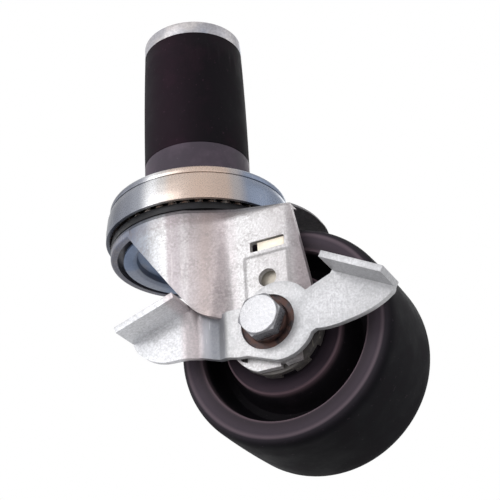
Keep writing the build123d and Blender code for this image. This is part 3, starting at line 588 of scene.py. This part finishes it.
def add_piece(name: str, mesh: bmesh.types.BMesh,
              sharp_deg: float = CREASE_DEG) -> bpy.types.Object:
    """Make an object of a finished bmesh, smooth with sharp creases.

    Args:
        name: the piece's name.
        mesh: the shape, in metres, freed here.
        sharp_deg: edges sharper than this stay sharp.

    Returns:
        The object, linked to the scene.
    """
    data = bpy.data.meshes.new(name)
    mesh.to_mesh(data)
    mesh.free()
    data.shade_smooth()
    data.set_sharp_from_angle(angle=math.radians(sharp_deg))
    piece = bpy.data.objects.new(name, data)
    bpy.context.scene.collection.objects.link(piece)
    return piece


def creased(mesh: bmesh.types.BMesh, degrees: float) -> list[bmesh.types.BMEdge]:
    """Edges where two faces meet at more than an angle."""
    limit = math.radians(degrees)
    return [e for e in mesh.edges if e.is_manifold and e.calc_face_angle() > limit]


def round_off(mesh: bmesh.types.BMesh, edges: list[bmesh.types.BMEdge], width_mm: float,
              segments: int = 2) -> None:
    """Round off some of a shape's edges.

    Args:
        mesh: the shape.
        edges: the edges.
        width_mm: width of the rounding.
        segments: faces across the rounding.
    """
    bmesh.ops.bevel(mesh, geom=edges, offset=width_mm * MM, offset_type="OFFSET",
                    segments=segments, profile=0.5, affect="EDGES", clamp_overlap=True,
                    material=-1)


def node_shape(frame: dict, node: str) -> bmesh.types.BMesh:
    """A node's own shape with its points merged, without its texture coordinates."""
    mesh = bmesh.new()
    mesh.from_mesh(frame["nodes"][node].data)
    for layer in list(mesh.loops.layers.uv):
        mesh.loops.layers.uv.remove(layer)
    bmesh.ops.remove_doubles(mesh, verts=mesh.verts, dist=MERGE_M)
    return mesh


def join_flat(mesh: bmesh.types.BMesh) -> None:
    """Join the faces that lie in one plane."""
    bmesh.ops.dissolve_limit(mesh, angle_limit=math.radians(FLAT_DEG), verts=mesh.verts,
                             edges=mesh.edges, use_dissolve_boundaries=False)


@dataclass
class FinishedNode:
    """A node's own shape with its edges rounded, in place of the node.

    Attributes:
        node: the node's name.
        body: the body it rides on.
        edge_mm: width of the edge rounding, 0 for none.
        crease_deg: edges sharper than this are rounded and drawn sharp.
        fold_mm: width of the rounding of a pressed sheet's bends, 0 for none.
        moves: low corner and high corner of each box whose points are moved, and the move.
    """

    node: str
    body: Body
    edge_mm: float = 0.3
    crease_deg: float = CREASE_DEG
    fold_mm: float = 0.0
    moves: Sequence[tuple[Point3, Point3, Point3]] = ()

    def move_points(self, mesh: bmesh.types.BMesh) -> None:
        """Move the points in each box of the moves."""
        for low, high, by in self.moves:
            inside = [v for v in mesh.verts
                      if all(a * MM < c < b * MM for a, c, b in zip(low, v.co, high))]
            bmesh.ops.translate(mesh, verts=inside, vec=Vector(by) * MM)

    def soften_folds(self, mesh: bmesh.types.BMesh) -> None:
        """Round the shallow bends of a pressed sheet widely."""
        shallow, steep = (math.radians(limit) for limit in BEND_DEG)
        folds = [e for e in mesh.edges if e.is_manifold and e.calc_length() > BEND_MM * MM
                 and shallow < e.calc_face_angle() < steep]
        round_off(mesh, folds, self.fold_mm, segments=5)

    def build(self, frame: dict, paint: Paintbox) -> bpy.types.Object:
        """Copy the node, join its faces, round its edges and dress it.

        Args:
            frame: the loaded frame.
            paint: the finishes.

        Returns:
            The piece.
        """
        mesh = node_shape(frame, self.node)
        join_flat(mesh)
        self.move_points(mesh)
        if self.fold_mm > 0:
            self.soften_folds(mesh)
        if self.edge_mm > 0:
            round_off(mesh, creased(mesh, self.crease_deg), self.edge_mm)
        bmesh.ops.triangulate(mesh, faces=[f for f in mesh.faces if len(f.verts) > 4])
        piece = add_piece(self.node + "_finished", mesh, self.crease_deg)
        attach(piece, self.body.value)
        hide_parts(self.node)
        paint.dress(piece, self.node)
        LOG.info("finished node %s, %d faces", self.node, len(piece.data.polygons))
        return piece


def prisms(outlines: Sequence[Sequence[Point2]], low_y: float,
           high_y: float) -> bmesh.types.BMesh:
    """Solids with given side views about the axle.

    Args:
        outlines: points of each side view, from the axle, as x and z.
        low_y: where the solids start across the wheel.
        high_y: where they end.

    Returns:
        The solids, in metres.
    """
    mesh = bmesh.new()
    faces = [
        mesh.faces.new([mesh.verts.new(((AXLE.x + x) * MM, low_y * MM, (AXLE.z + z) * MM))
                        for x, z in outline])
        for outline in outlines
    ]
    moved = bmesh.ops.extrude_face_region(mesh, geom=faces)["geom"]
    bmesh.ops.translate(mesh, verts=[v for v in moved if isinstance(v, bmesh.types.BMVert)],
                        vec=(0, (high_y - low_y) * MM, 0))
    bmesh.ops.recalc_face_normals(mesh, faces=mesh.faces)
    return mesh


def on_circle(centre: Point2, radius: float, turn: float) -> Point2:
    """The point of a circle at an angle in radians."""
    return centre[0] + radius * math.cos(turn), centre[1] + radius * math.sin(turn)


def circle(centre: Point2, radius: float, steps: int = 40) -> list[Point2]:
    """Points round a circle in the side view."""
    return [on_circle(centre, radius, 2 * math.pi * i / steps) for i in range(steps)]


def rounded_box(low: Point2, high: Point2, radius: float) -> list[Point2]:
    """Points round a rectangle with round corners in the side view."""
    left, low_z, right, high_z = (low[0] + radius, low[1] + radius,
                                  high[0] - radius, high[1] - radius)
    centres = ((right, high_z), (left, high_z), (left, low_z), (right, low_z))
    return [on_circle(centre, radius, math.radians(90 * corner + 22.5 * step))
            for corner, centre in enumerate(centres) for step in range(5)]


def cut(piece: bpy.types.Object, tool: bmesh.types.BMesh, operation: str) -> None:
    """Cut a piece with a solid and keep the result as its mesh.

    Args:
        piece: the piece.
        tool: the solid, freed here.
        operation: INTERSECT or DIFFERENCE.
    """
    cutter = add_piece("cutter", tool)
    step = piece.modifiers.new("cut", "BOOLEAN")
    step.operation = operation
    step.solver = "EXACT"
    step.use_self = True
    step.object = cutter
    shape = bpy.data.meshes.new_from_object(
        piece.evaluated_get(bpy.context.evaluated_depsgraph_get()))
    piece.modifiers.clear()
    piece.data = shape
    bpy.data.objects.remove(cutter)


@dataclass(frozen=True)
class Level:
    """Outer side of a fork leg at one height, seen from above.

    Attributes:
        z: its height.
        crease_x: where the round front ends.
        rib: the ridge beside the plate.
        step: where the plate starts.
        bend: where the rear margin bends inward.
        rear: end of the margin, past the leg's edge.
        radius: radius of the leg's round front.
    """

    z: float
    crease_x: float
    rib: Point2
    step: Point2
    bend: Point2 = (62.4, -36.0)
    rear: Point2 = (74.1, -36.0)
    radius: float = 42.6

    def line(self) -> list[Point2]:
        """Evenly stepped points along the level, the same number at each height."""
        crease = (self.crease_x, -math.sqrt(self.radius**2 - self.crease_x**2))
        start, end = math.radians(FRONT_DEG), 2 * math.pi + math.atan2(crease[1], crease[0])
        points = [on_circle((0.0, 0.0), self.radius, start + (end - start) * i / FRONT_STEPS)
                  for i in range(FRONT_STEPS)]
        stops = (crease, self.rib, self.step, self.bend, self.rear)
        for (x0, y0), (x1, y1), steps in zip(stops, stops[1:], PLATE_STEPS):
            points += [(x0 + (x1 - x0) * i / steps, y0 + (y1 - y0) * i / steps)
                       for i in range(steps)]
        return points + [self.rear]


@dataclass
class Leg:
    """One pressed leg of the fork, a soft sheet between its levels.

    Attributes:
        near: True on the brake side, with the pocket, the slot and the holes.
        sheet: thickness of the sheet.
        fold: softness of the upright creases.
        shoulder: softness of the level creases.
        levels: the leg's outer side from the top down.
        skirt: points of the skirt's front edge, from the axle.
        eye_r: radius of the eye's lower front.
        outline_end: the rest of the side view, from the eye's flat round to the top.
        pocket: sides and ends of the raised pocket.
        pocket_raise: how far it stands out.
        slope: width of the slope round the pocket.
        edge: rounding of the cut edges.
        edge_deg: cut edges sharper than this are rounded.
        eye_arc: first angle and turn of the eye's lower front, in degrees.
        recess: radius of the hollow behind the eye, and the plane that it reaches.
        bolt_hole: radius of the bolt's hole.
        rows: distance between the skin's rows in fine and in plain stretches.
    """

    near: bool
    sheet: float = 2.8
    fold: float = 1.9
    shoulder: float = 0.9
    levels: Sequence[Level] = (
        Level(-24.2, 13.0, (28.0, -31.7), (33.0, -29.0), (51.0, -24.1), (57.0, -22.0), 42.25),
        Level(-24.7, 13.0, (28.0, -32.0), (33.0, -29.3), (51.0, -24.4), (57.0, -22.3), 42.45),
        Level(-31.0, 12.0, (28.0, -35.9), (32.5, -36.0), (60.4, -36.0), (74.1, -27.9)),
        Level(-76.2, 6.1, (26.1, -41.1), (32.5, -36.0), rear=(74.1, -29.0)),
        Level(-79.7, 6.0, (26.0, -41.2), (32.5, -36.0)),
        Level(-81.5, 6.0, (27.0, -36.0), (31.5, -36.0)),
        Level(-110.0, 6.0, (27.0, -36.0), (31.5, -36.0)),
    )
    skirt: Sequence[Point2] = ((-69.0, 61.2), (-59.8, 48.5), (-49.3, 34.0), (-41.9, 23.6),
                               (-34.3, 13.8), (-29.1, 10.0), (-25.3, 8.4), (-21.5, 7.4))
    eye_r: float = 20.8
    outline_end: Sequence[Point2] = (
        (4.0, -19.4), (6.2, -18.4), (12.2, -17.6), (12.1, -13.5), (17.4, -5.0), (18.6, 10.5),
        (11.5, 56.5), (6.5, 62.5), (6.5, 64.5), (-69.0, 64.5),
    )
    pocket: tuple[Point2, Point2] = ((-11.5, 14.0), (10.8, 34.6))
    pocket_raise: float = 1.0
    slope: float = 1.6
    edge: float = 0.3
    edge_deg: float = 55.0
    eye_arc: Point2 = (178.3, 70.3)
    recess: Point2 = (21.6, -33.2)
    bolt_hole: float = 5.2
    rows: Point2 = (0.55, 1.2)

    def side_view(self) -> list[Point2]:
        """The leg's outline from the side, from the axle, with a smooth curve for the skirt."""
        points: list[Point2] = []
        pts = [self.skirt[0], *self.skirt, self.skirt[-1]]
        for a, b, c, d in zip(pts, pts[1:], pts[2:], pts[3:]):
            for step in range(8):
                t = step / 8
                weights = (-0.5 * t + t * t - 0.5 * t**3, 1 - 2.5 * t * t + 1.5 * t**3,
                           0.5 * t + 2 * t * t - 1.5 * t**3, -0.5 * t * t + 0.5 * t**3)
                points.append(tuple(sum(w * p[k] for w, p in zip(weights, (a, b, c, d)))
                                    for k in (0, 1)))
        points.append(self.skirt[-1])
        start, turn = self.eye_arc
        points += [on_circle((0.0, 0.0), self.eye_r, math.radians(start + turn * i / 14))
                   for i in range(15)]
        return points + list(self.outline_end)

    def soft_line(self, line: list[Point2]) -> list[Point2]:
        """Round off a level's corners by averaging along it."""
        run = [0.0]
        for a, b in zip(line, line[1:]):
            run.append(run[-1] + math.dist(a, b))
        soft: list[Point2] = []
        for i, here in enumerate(run):
            width = min(self.fold, 0.35 * here + 0.01, 0.35 * (run[-1] - here) + 0.01)
            total, x, y = 0.0, 0.0, 0.0
            for j, there in enumerate(run):
                share = (run[min(j + 1, len(run) - 1)] - run[max(j - 1, 0)]) / 2
                weight = share * math.exp(-0.5 * ((there - here) / width) ** 2)
                total, x, y = total + weight, x + weight * line[j][0], y + weight * line[j][1]
            soft.append((x / total, y / total))
        return soft

    def at(self, z: float, lines: Sequence[list[Point2]]) -> list[Point2]:
        """The level's points at any height, between the given levels."""
        z = max(self.levels[-1].z, min(self.levels[0].z, z))
        i = next(i for i, level in enumerate(self.levels[1:]) if z >= level.z)
        high, low = self.levels[i].z, self.levels[i + 1].z
        t = (high - z) / (high - low)
        return [(a[0] + (b[0] - a[0]) * t, a[1] + (b[1] - a[1]) * t)
                for a, b in zip(lines[i], lines[i + 1])]

    def raised(self, x: float, z: float) -> float:
        """How far the pocket stands out at a point of the side view."""
        (left, low), (right, high) = self.pocket
        inside = min(x - left, right - x, high - z, z - low + 4.0)
        t = max(0.0, min(1.0, inside / self.slope))
        return self.pocket_raise * t * t * (3 - 2 * t)

    def skin(self) -> bmesh.types.BMesh:
        """The leg's outer side as an open sheet."""
        lines = [self.soft_line(level.line()) for level in self.levels]
        fine, plain = self.rows
        heights = [self.levels[0].z - fine * i for i in range(16)]
        while heights[-1] > -109.0:
            at_pocket = -75.0 < heights[-1] < -51.0
            heights.append(heights[-1] - (fine if at_pocket else plain))
        mesh = bmesh.new()
        bmesh.ops.create_grid(mesh, x_segments=len(lines[0]) - 1,
                              y_segments=len(heights) - 1, size=1.0)
        mesh.verts.ensure_lookup_table()
        columns = len(lines[0])
        for row, z in enumerate(heights):
            spread = [(d, math.exp(-0.5 * (d / self.shoulder) ** 2))
                      for d in (-1.8, -0.9, 0.0, 0.9, 1.8)]
            if z > self.levels[1].z - 1.0:
                spread = [(0.0, 1.0)]
            total = sum(w for _, w in spread)
            parts = [(w / total, self.at(z + d, lines)) for d, w in spread]
            for column in range(columns):
                x = sum(w * part[column][0] for w, part in parts)
                y = sum(w * part[column][1] for w, part in parts)
                if self.near:
                    y -= self.raised(x - AXLE.x, z - AXLE.z)
                mesh.verts[row * columns + column].co = (x * MM, y * MM, z * MM)
        return mesh

    def build(self) -> bpy.types.Object:
        """Thicken the skin and cut its outline and holes.

        Returns:
            The leg, undressed.
        """
        mesh = self.skin()
        bmesh.ops.recalc_face_normals(mesh, faces=mesh.faces)
        if sum(f.normal.y for f in mesh.faces) > 0:
            bmesh.ops.reverse_faces(mesh, faces=mesh.faces)
        bmesh.ops.solidify(mesh, geom=mesh.faces[:], thickness=self.sheet * MM)
        bmesh.ops.recalc_face_normals(mesh, faces=mesh.faces)
        leg = add_piece("leg_near" if self.near else "leg_far", mesh)
        cut(leg, prisms([self.side_view()], *LEG_DEPTH), "INTERSECT")
        radius, plane = self.recess
        cut(leg, prisms([circle((0, 0), radius)], plane, -15.0), "DIFFERENCE")
        holes = [circle((0, 0), self.bolt_hole)]
        if self.near:
            holes += [
                # the slot and the round hole above the bolt
                rounded_box((-8.1, 36.35), (8.3, 41.25), 0.7), circle((-0.2, 22.0), 4.2),
                # small round holes on both sides of the bolt
                circle((16.6, 0.0), 2.4), circle((-16.6, 0.0), 2.4),
                # a window and a notch at the eye's lower edge
                [(-17.2, -10.0), (-14.6, -13.4), (-11.9, -14.6), (-11.9, -10.2)],
                [(3.4, -21.5), (5.6, -21.0), (5.0, -17.2), (2.9, -17.6)],
            ]
        cut(leg, prisms(holes, *LEG_DEPTH), "DIFFERENCE")
        mesh = bmesh.new()
        mesh.from_mesh(leg.data)
        bmesh.ops.remove_doubles(mesh, verts=mesh.verts, dist=5e-6)
        round_off(mesh, creased(mesh, self.edge_deg), self.edge)
        if not self.near:
            bmesh.ops.scale(mesh, verts=mesh.verts, vec=(1, -1, 1))
            bmesh.ops.reverse_faces(mesh, faces=mesh.faces)
        mesh.to_mesh(leg.data)
        mesh.free()
        return leg


@dataclass
class Fork:
    """The pressed fork: crown, turned-down rim and two legs.

    Attributes:
        cut_z: height at which the crown is parted from the node's legs.
        rim_out: outer radius of the rim.
        rim_in: inner radius of the rim.
        rim_low: height of the rim's lower edge.
        rim_round: rounding of the rim's lower edge.
        rim_turn: where the rim starts and ends, in degrees.
        overlap: how far the rim reaches up past the parting.
    """

    cut_z: float = -24.75
    rim_out: float = 42.55
    rim_in: float = 39.4
    rim_low: float = -28.1
    rim_round: float = 1.2
    rim_turn: Point2 = (112.0, 248.0)
    overlap: float = 0.6

    def crown(self, frame: dict) -> bpy.types.Object:
        """The crown's disc, from the node above its legs."""
        mesh = node_shape(frame, "fork")
        bmesh.ops.bisect_plane(mesh, geom=mesh.verts[:] + mesh.edges[:] + mesh.faces[:],
                               plane_co=(0, 0, self.cut_z * MM), plane_no=(0, 0, -1),
                               clear_outer=True)
        bmesh.ops.triangle_fill(mesh, edges=[e for e in mesh.edges if e.is_boundary],
                                use_beauty=True)
        bmesh.ops.recalc_face_normals(mesh, faces=mesh.faces)
        join_flat(mesh)
        return add_piece("crown_disc", mesh)

    def rim(self) -> bpy.types.Object:
        """The rim turned down round the crown's front."""
        r, top = self.rim_round, self.cut_z + self.overlap
        profile = [(self.rim_out, top)]
        profile += [(self.rim_out - r + r * math.cos(t), self.rim_low + r - r * math.sin(t))
                    for t in [math.pi / 2 * i / 5 for i in range(6)]]
        profile += [(self.rim_in, self.rim_low + 0.2), (self.rim_in, top)]
        start, end = (math.radians(t) for t in self.rim_turn)
        mesh = bmesh.new()
        ring = [mesh.verts.new((x * math.cos(start) * MM, x * math.sin(start) * MM, z * MM))
                for x, z in profile]
        face = mesh.faces.new(ring)
        bmesh.ops.spin(mesh, geom=[face], cent=(0, 0, 0), axis=(0, 0, 1),
                       angle=end - start, steps=72)
        bmesh.ops.recalc_face_normals(mesh, faces=mesh.faces)
        return add_piece("crown_rim", mesh)

    def build(self, frame: dict, paint: Paintbox) -> list[bpy.types.Object]:
        """Make the fork's pieces in place of its node.

        Args:
            frame: the loaded frame.
            paint: the finishes.

        Returns:
            The pieces.
        """
        crown = self.crown(frame)
        pieces = [crown, self.rim(), Leg(True).build(), Leg(False).build()]
        for piece in pieces:
            piece.data.shade_smooth()
            piece.data.set_sharp_from_angle(angle=math.radians(FORK_CREASE_DEG))
            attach(piece, Body.FORK.value)
            paint.dress(piece, "fork")
            LOG.info("fork piece %s, %d faces", piece.name, len(piece.data.polygons))
        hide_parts("fork")
        return pieces


@dataclass
class Wheel:
    """The moulded wheel, spun from its section.

    Attributes:
        radius: tread radius.
        half_width: from mid-width to the ring's face.
        tread_half: half width of the flat part of the tread.
        ring_out: outer radius of the ring's face.
        ring_in: inner radius of the ring's face.
        web_half: half thickness of the web.
        boss: radius of the boss.
        dish: inner radius of the boss's face.
        hub: radius of the hub.
        hub_half: half length of the hub.
        bore: radius of the hole that holds the bush.
        steps: facets round the wheel.
    """

    radius: float = 50.0
    half_width: float = 26.3
    tread_half: float = 19.0
    ring_out: float = 46.1
    ring_in: float = 38.8
    web_half: float = 12.0
    boss: float = 27.4
    dish: float = 19.6
    hub: float = 18.4
    hub_half: float = 28.9
    bore: float = 10.0
    steps: int = 160

    def section(self) -> list[Point2]:
        """Half of the wheel's section as width and radius, from the tread to the bore."""
        points: list[Point2] = []
        for i in range(7):
            t = i / 6
            points.append((self.tread_half * t, self.radius - 0.3 * t * t))
        for i in range(1, 9):
            turn = math.radians(90 * i / 8)
            points.append((
                self.tread_half + (self.half_width - self.tread_half) * math.sin(turn),
                self.ring_out + (self.radius - 0.3 - self.ring_out) * math.cos(turn) ** 0.9,
            ))
        points += [
            (self.half_width - 0.15, self.ring_out - 1.4),
            (self.half_width, self.ring_out - 2.2),
            (self.half_width, self.ring_in + 1.0),
            (self.half_width - 0.9, self.ring_in),
            (self.web_half + 3.0, self.ring_in - 1.4),
            (self.web_half, self.ring_in - 4.0),
            (self.web_half, self.boss + 4.2),
            (self.web_half + 3.0, self.boss + 1.5),
            (self.half_width - 1.0, self.boss),
            (self.half_width, self.boss - 1.0),
            (self.half_width - 1.5, self.dish + 0.3),
            (self.half_width - 1.6, self.hub + 0.2),
            (self.hub_half - 0.6, self.hub),
            (self.hub_half, self.hub - 0.6),
            (self.hub_half, self.bore + 0.3),
            (self.hub_half - 0.4, self.bore),
        ]
        return points

    def build(self, paint: Paintbox) -> bpy.types.Object:
        """Spin the section round the axle and dress the wheel.

        Args:
            paint: the finishes.

        Returns:
            The wheel.
        """
        half = self.section()
        loop = half + [(-y, r) for y, r in reversed(half[1:])]
        mesh = bmesh.new()
        ring = [mesh.verts.new(((AXLE.x + r) * MM, y * MM, AXLE.z * MM)) for y, r in loop]
        edges = [mesh.edges.new((ring[i - 1], ring[i])) for i in range(len(ring))]
        bmesh.ops.spin(mesh, geom=ring + edges, cent=AXLE * MM, axis=(0, 1, 0),
                       angle=2 * math.pi, steps=self.steps, use_merge=True)
        bmesh.ops.remove_doubles(mesh, verts=mesh.verts, dist=1e-6)
        bmesh.ops.recalc_face_normals(mesh, faces=mesh.faces)
        piece = add_piece("wheel_moulding", mesh, WHEEL_CREASE_DEG)
        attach(piece, Body.WHEEL.value)
        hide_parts("wheel")
        paint.dress(piece, "wheel")
        LOG.info("wheel, %d faces", len(piece.data.polygons))
        return piece


@dataclass(frozen=True)
class SoftLamp:
    """A square soft light that faces the castor.

    Attributes:
        name: the lamp's name.
        place: where it stands, in metres.
        size: width of its face, in metres.
        power: in watts.
        colour: its light's colour.
        aim: what it faces, in metres.
    """

    name: str
    place: Point3
    size: float
    power: float
    colour: Colour = (1.0, 1.0, 1.0)
    aim: Point3 = (0.02, 0.0, -0.04)

    def build(self) -> None:
        """Add the lamp to the scene."""
        data = bpy.data.lights.new(self.name, "AREA")
        data.shape = "SQUARE"
        data.size = self.size
        data.energy = self.power
        data.color = self.colour
        lamp = bpy.data.objects.new(self.name, data)
        lamp.location = self.place
        facing = Vector(self.aim) - Vector(self.place)
        lamp.rotation_euler = facing.to_track_quat("-Z", "Y").to_euler()
        bpy.context.scene.collection.objects.link(lamp)


@dataclass
class Studio:
    """Floor, white surroundings, lamps and the photograph's camera.

    Attributes:
        azimuth: camera's turn round the castor, in degrees.
        elevation: camera's height above level, in degrees.
        roll: camera's lean, in degrees.
        distance: from the target to the camera, in millimetres.
        target: what the camera looks at, in millimetres.
        lens: focal length, in millimetres.
        sensor: width of the camera's sensor, in millimetres.
        paleness: the floor's grey, 0 to 1.
        mirrored: share of white in what the castor reflects of the floor.
        dimmed: the surroundings' strength as a light.
        lamps: the soft lights.
    """

    azimuth: float = 24.657
    elevation: float = -27.399
    roll: float = -3.230
    distance: float = 652.07
    target: Point3 = (25.896, 0.0, -29.192)
    lens: float = 100.64
    sensor: float = 36.0
    paleness: float = 0.93
    mirrored: float = 0.85
    dimmed: float = 0.42
    lamps: Sequence[SoftLamp] = (
        SoftLamp("key", (-0.2, -0.8, 0.25), 0.5, 2.8),
        SoftLamp("front", (0.6, -0.6, -0.11), 0.4, 1.2, (1.0, 0.98, 0.96)),
        SoftLamp("low", (-0.35, -0.55, -0.1), 0.2, 0.7, aim=(0.0, -0.04, -0.08)),
        SoftLamp("left", (-0.8, -0.1, 0.15), 0.4, 0.7, (0.95, 0.98, 1.0)),
        SoftLamp("right", (0.75, 0.25, 0.35), 0.5, 0.7, (0.94, 0.97, 1.0)),
        SoftLamp("back", (-0.2, 0.8, 0.4), 0.6, 2.2),
    )

    def camera(self) -> None:
        """Set the camera at the photograph's viewing angle."""
        turn, rise, lean = (math.radians(v) for v in (self.azimuth, self.elevation, self.roll))
        back = Vector((math.sin(turn) * math.cos(rise), -math.cos(turn) * math.cos(rise),
                       math.sin(rise)))
        right = (-back).cross(Vector((0, 0, 1))).normalized()
        up = right.cross(-back)
        leaned_right = math.cos(lean) * right + math.sin(lean) * up
        leaned_up = math.cos(lean) * up - math.sin(lean) * right
        facing = Matrix((leaned_right, leaned_up, back)).transposed().to_4x4()
        spot = (Vector(self.target) + back * self.distance) * MM
        data = bpy.data.cameras.new("photo_camera")
        data.lens = self.lens
        data.sensor_width = self.sensor
        data.clip_start = 0.01
        camera = bpy.data.objects.new("photo_camera", data)
        camera.matrix_world = Matrix.Translation(spot) @ facing
        bpy.context.scene.collection.objects.link(camera)
        bpy.context.scene.camera = camera

    def floor(self) -> None:
        """Lay a pale floor under the wheel, bright in reflections and clear from below."""
        mesh = bmesh.new()
        bmesh.ops.create_grid(mesh, x_segments=8, y_segments=8, size=3.0)
        bmesh.ops.translate(mesh, verts=mesh.verts, vec=(0, 0, FLOOR_Z * MM - FLOOR_GAP_M))
        floor = add_piece("floor", mesh)
        board = Board("pale_floor")
        board.fill(board.shader, Base_Color=(*[self.paleness] * 3, 1.0), Roughness=0.9)
        mirrored = board.math("MULTIPLY", board.add("LightPath").outputs["Is Glossy Ray"],
                              self.mirrored)
        top = board.mix_shaders(mirrored, board.shader.outputs[0],
                                board.add("Emission").outputs[0])
        below = board.add("NewGeometry").outputs["Backfacing"]
        both = board.mix_shaders(below, top, board.add("BsdfTransparent").outputs[0])
        board.fill(board.tree.nodes["Material Output"], Surface=both)
        floor.data.materials.append(board.material)

    def surroundings(self) -> None:
        """White world for the camera and for reflections, softer light for the rest."""
        world = bpy.data.worlds.new("white_room")
        bpy.context.scene.world = world
        world.use_nodes = True
        tree = world.node_tree
        path = tree.nodes.new("ShaderNodeLightPath")
        shown = path.outputs["Is Camera Ray"]
        for other in ("Is Glossy Ray", "Is Transmission Ray"):
            either = tree.nodes.new("ShaderNodeMath")
            either.operation = "MAXIMUM"
            tree.links.new(shown, either.inputs[0])
            tree.links.new(path.outputs[other], either.inputs[1])
            shown = either.outputs[0]
        strength = tree.nodes.new("ShaderNodeMapRange")
        strength.inputs["To Min"].default_value = self.dimmed
        strength.inputs["To Max"].default_value = 1.0
        tree.links.new(shown, strength.inputs["Value"])
        ground = tree.nodes["Background"]
        ground.inputs["Color"].default_value = (1.0, 1.0, 1.0, 1.0)
        tree.links.new(strength.outputs["Result"], ground.inputs["Strength"])

    def build(self) -> None:
        """Set up everything that isn't the castor."""
        bpy.context.scene.view_settings.view_transform = "Standard"
        self.camera()
        self.floor()
        self.surroundings()
        for lamp in self.lamps:
            lamp.build()
        LOG.info("studio with %d lamps", len(self.lamps))


FINISHED_NODES = tuple(FinishedNode(*row) for row in (
    ("stem_collar", Body.HEAD, 0.4),
    ("rubber_sleeve", Body.HEAD, 0.0, 50.0),
    ("end_cap", Body.HEAD, 0.3),
    ("stem_washer", Body.HEAD, 0.2),
    ("stem_bolt", Body.HEAD, 0.2, 20.0),
    ("top_plate", Body.HEAD, 0.2),
    ("shell", Body.HEAD, 0.35, 20.0),
    ("lower_race", Body.FORK, 0.2),
    ("retainer", Body.HEAD, 0.35, 25.0),
    ("kingpin", Body.HEAD, 0.3),
    ("lever_bush", Body.FORK, 0.2),
    ("head_washer", Body.FORK, 0.25),
    ("nut_washer", Body.FORK, 0.25),
    ("axle_bolt", Body.FORK, 0.2, 20.0),
    ("axle_nut", Body.FORK, 0.2, 20.0),
    ("thread_guard", Body.FORK, 0.2),
    ("brake_lever", Body.LEVER, 0.4, CREASE_DEG, 2.0,
     (((14.0, -42.0, -75.0), (22.4, -34.0, -74.0), (0.0, 0.0, 4.0)),
      ((12.1, -56.0, -73.9), (13.3, -37.0, -70.8), (1.2, 0.0, 0.4)))),
    ("brake_plate", Body.BRAKE, 0.25),
))


def main() -> None:
    """Load the frame, build every piece and set up the studio."""
    logging.basicConfig(level=logging.INFO, format="%(name)s: %(message)s")
    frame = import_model()
    paint = Paintbox(frame["record"])
    for part in FINISHED_NODES:
        part.build(frame, paint)
    Fork().build(frame, paint)
    Wheel().build(paint)
    done = {part.node for part in FINISHED_NODES} | {"fork", "wheel"}
    for node, piece in frame["nodes"].items():
        if node not in done:
            paint.dress(piece, node)
            LOG.info("kept node %s", node)
    Studio().build()


if __name__ == "__main__":
    main()
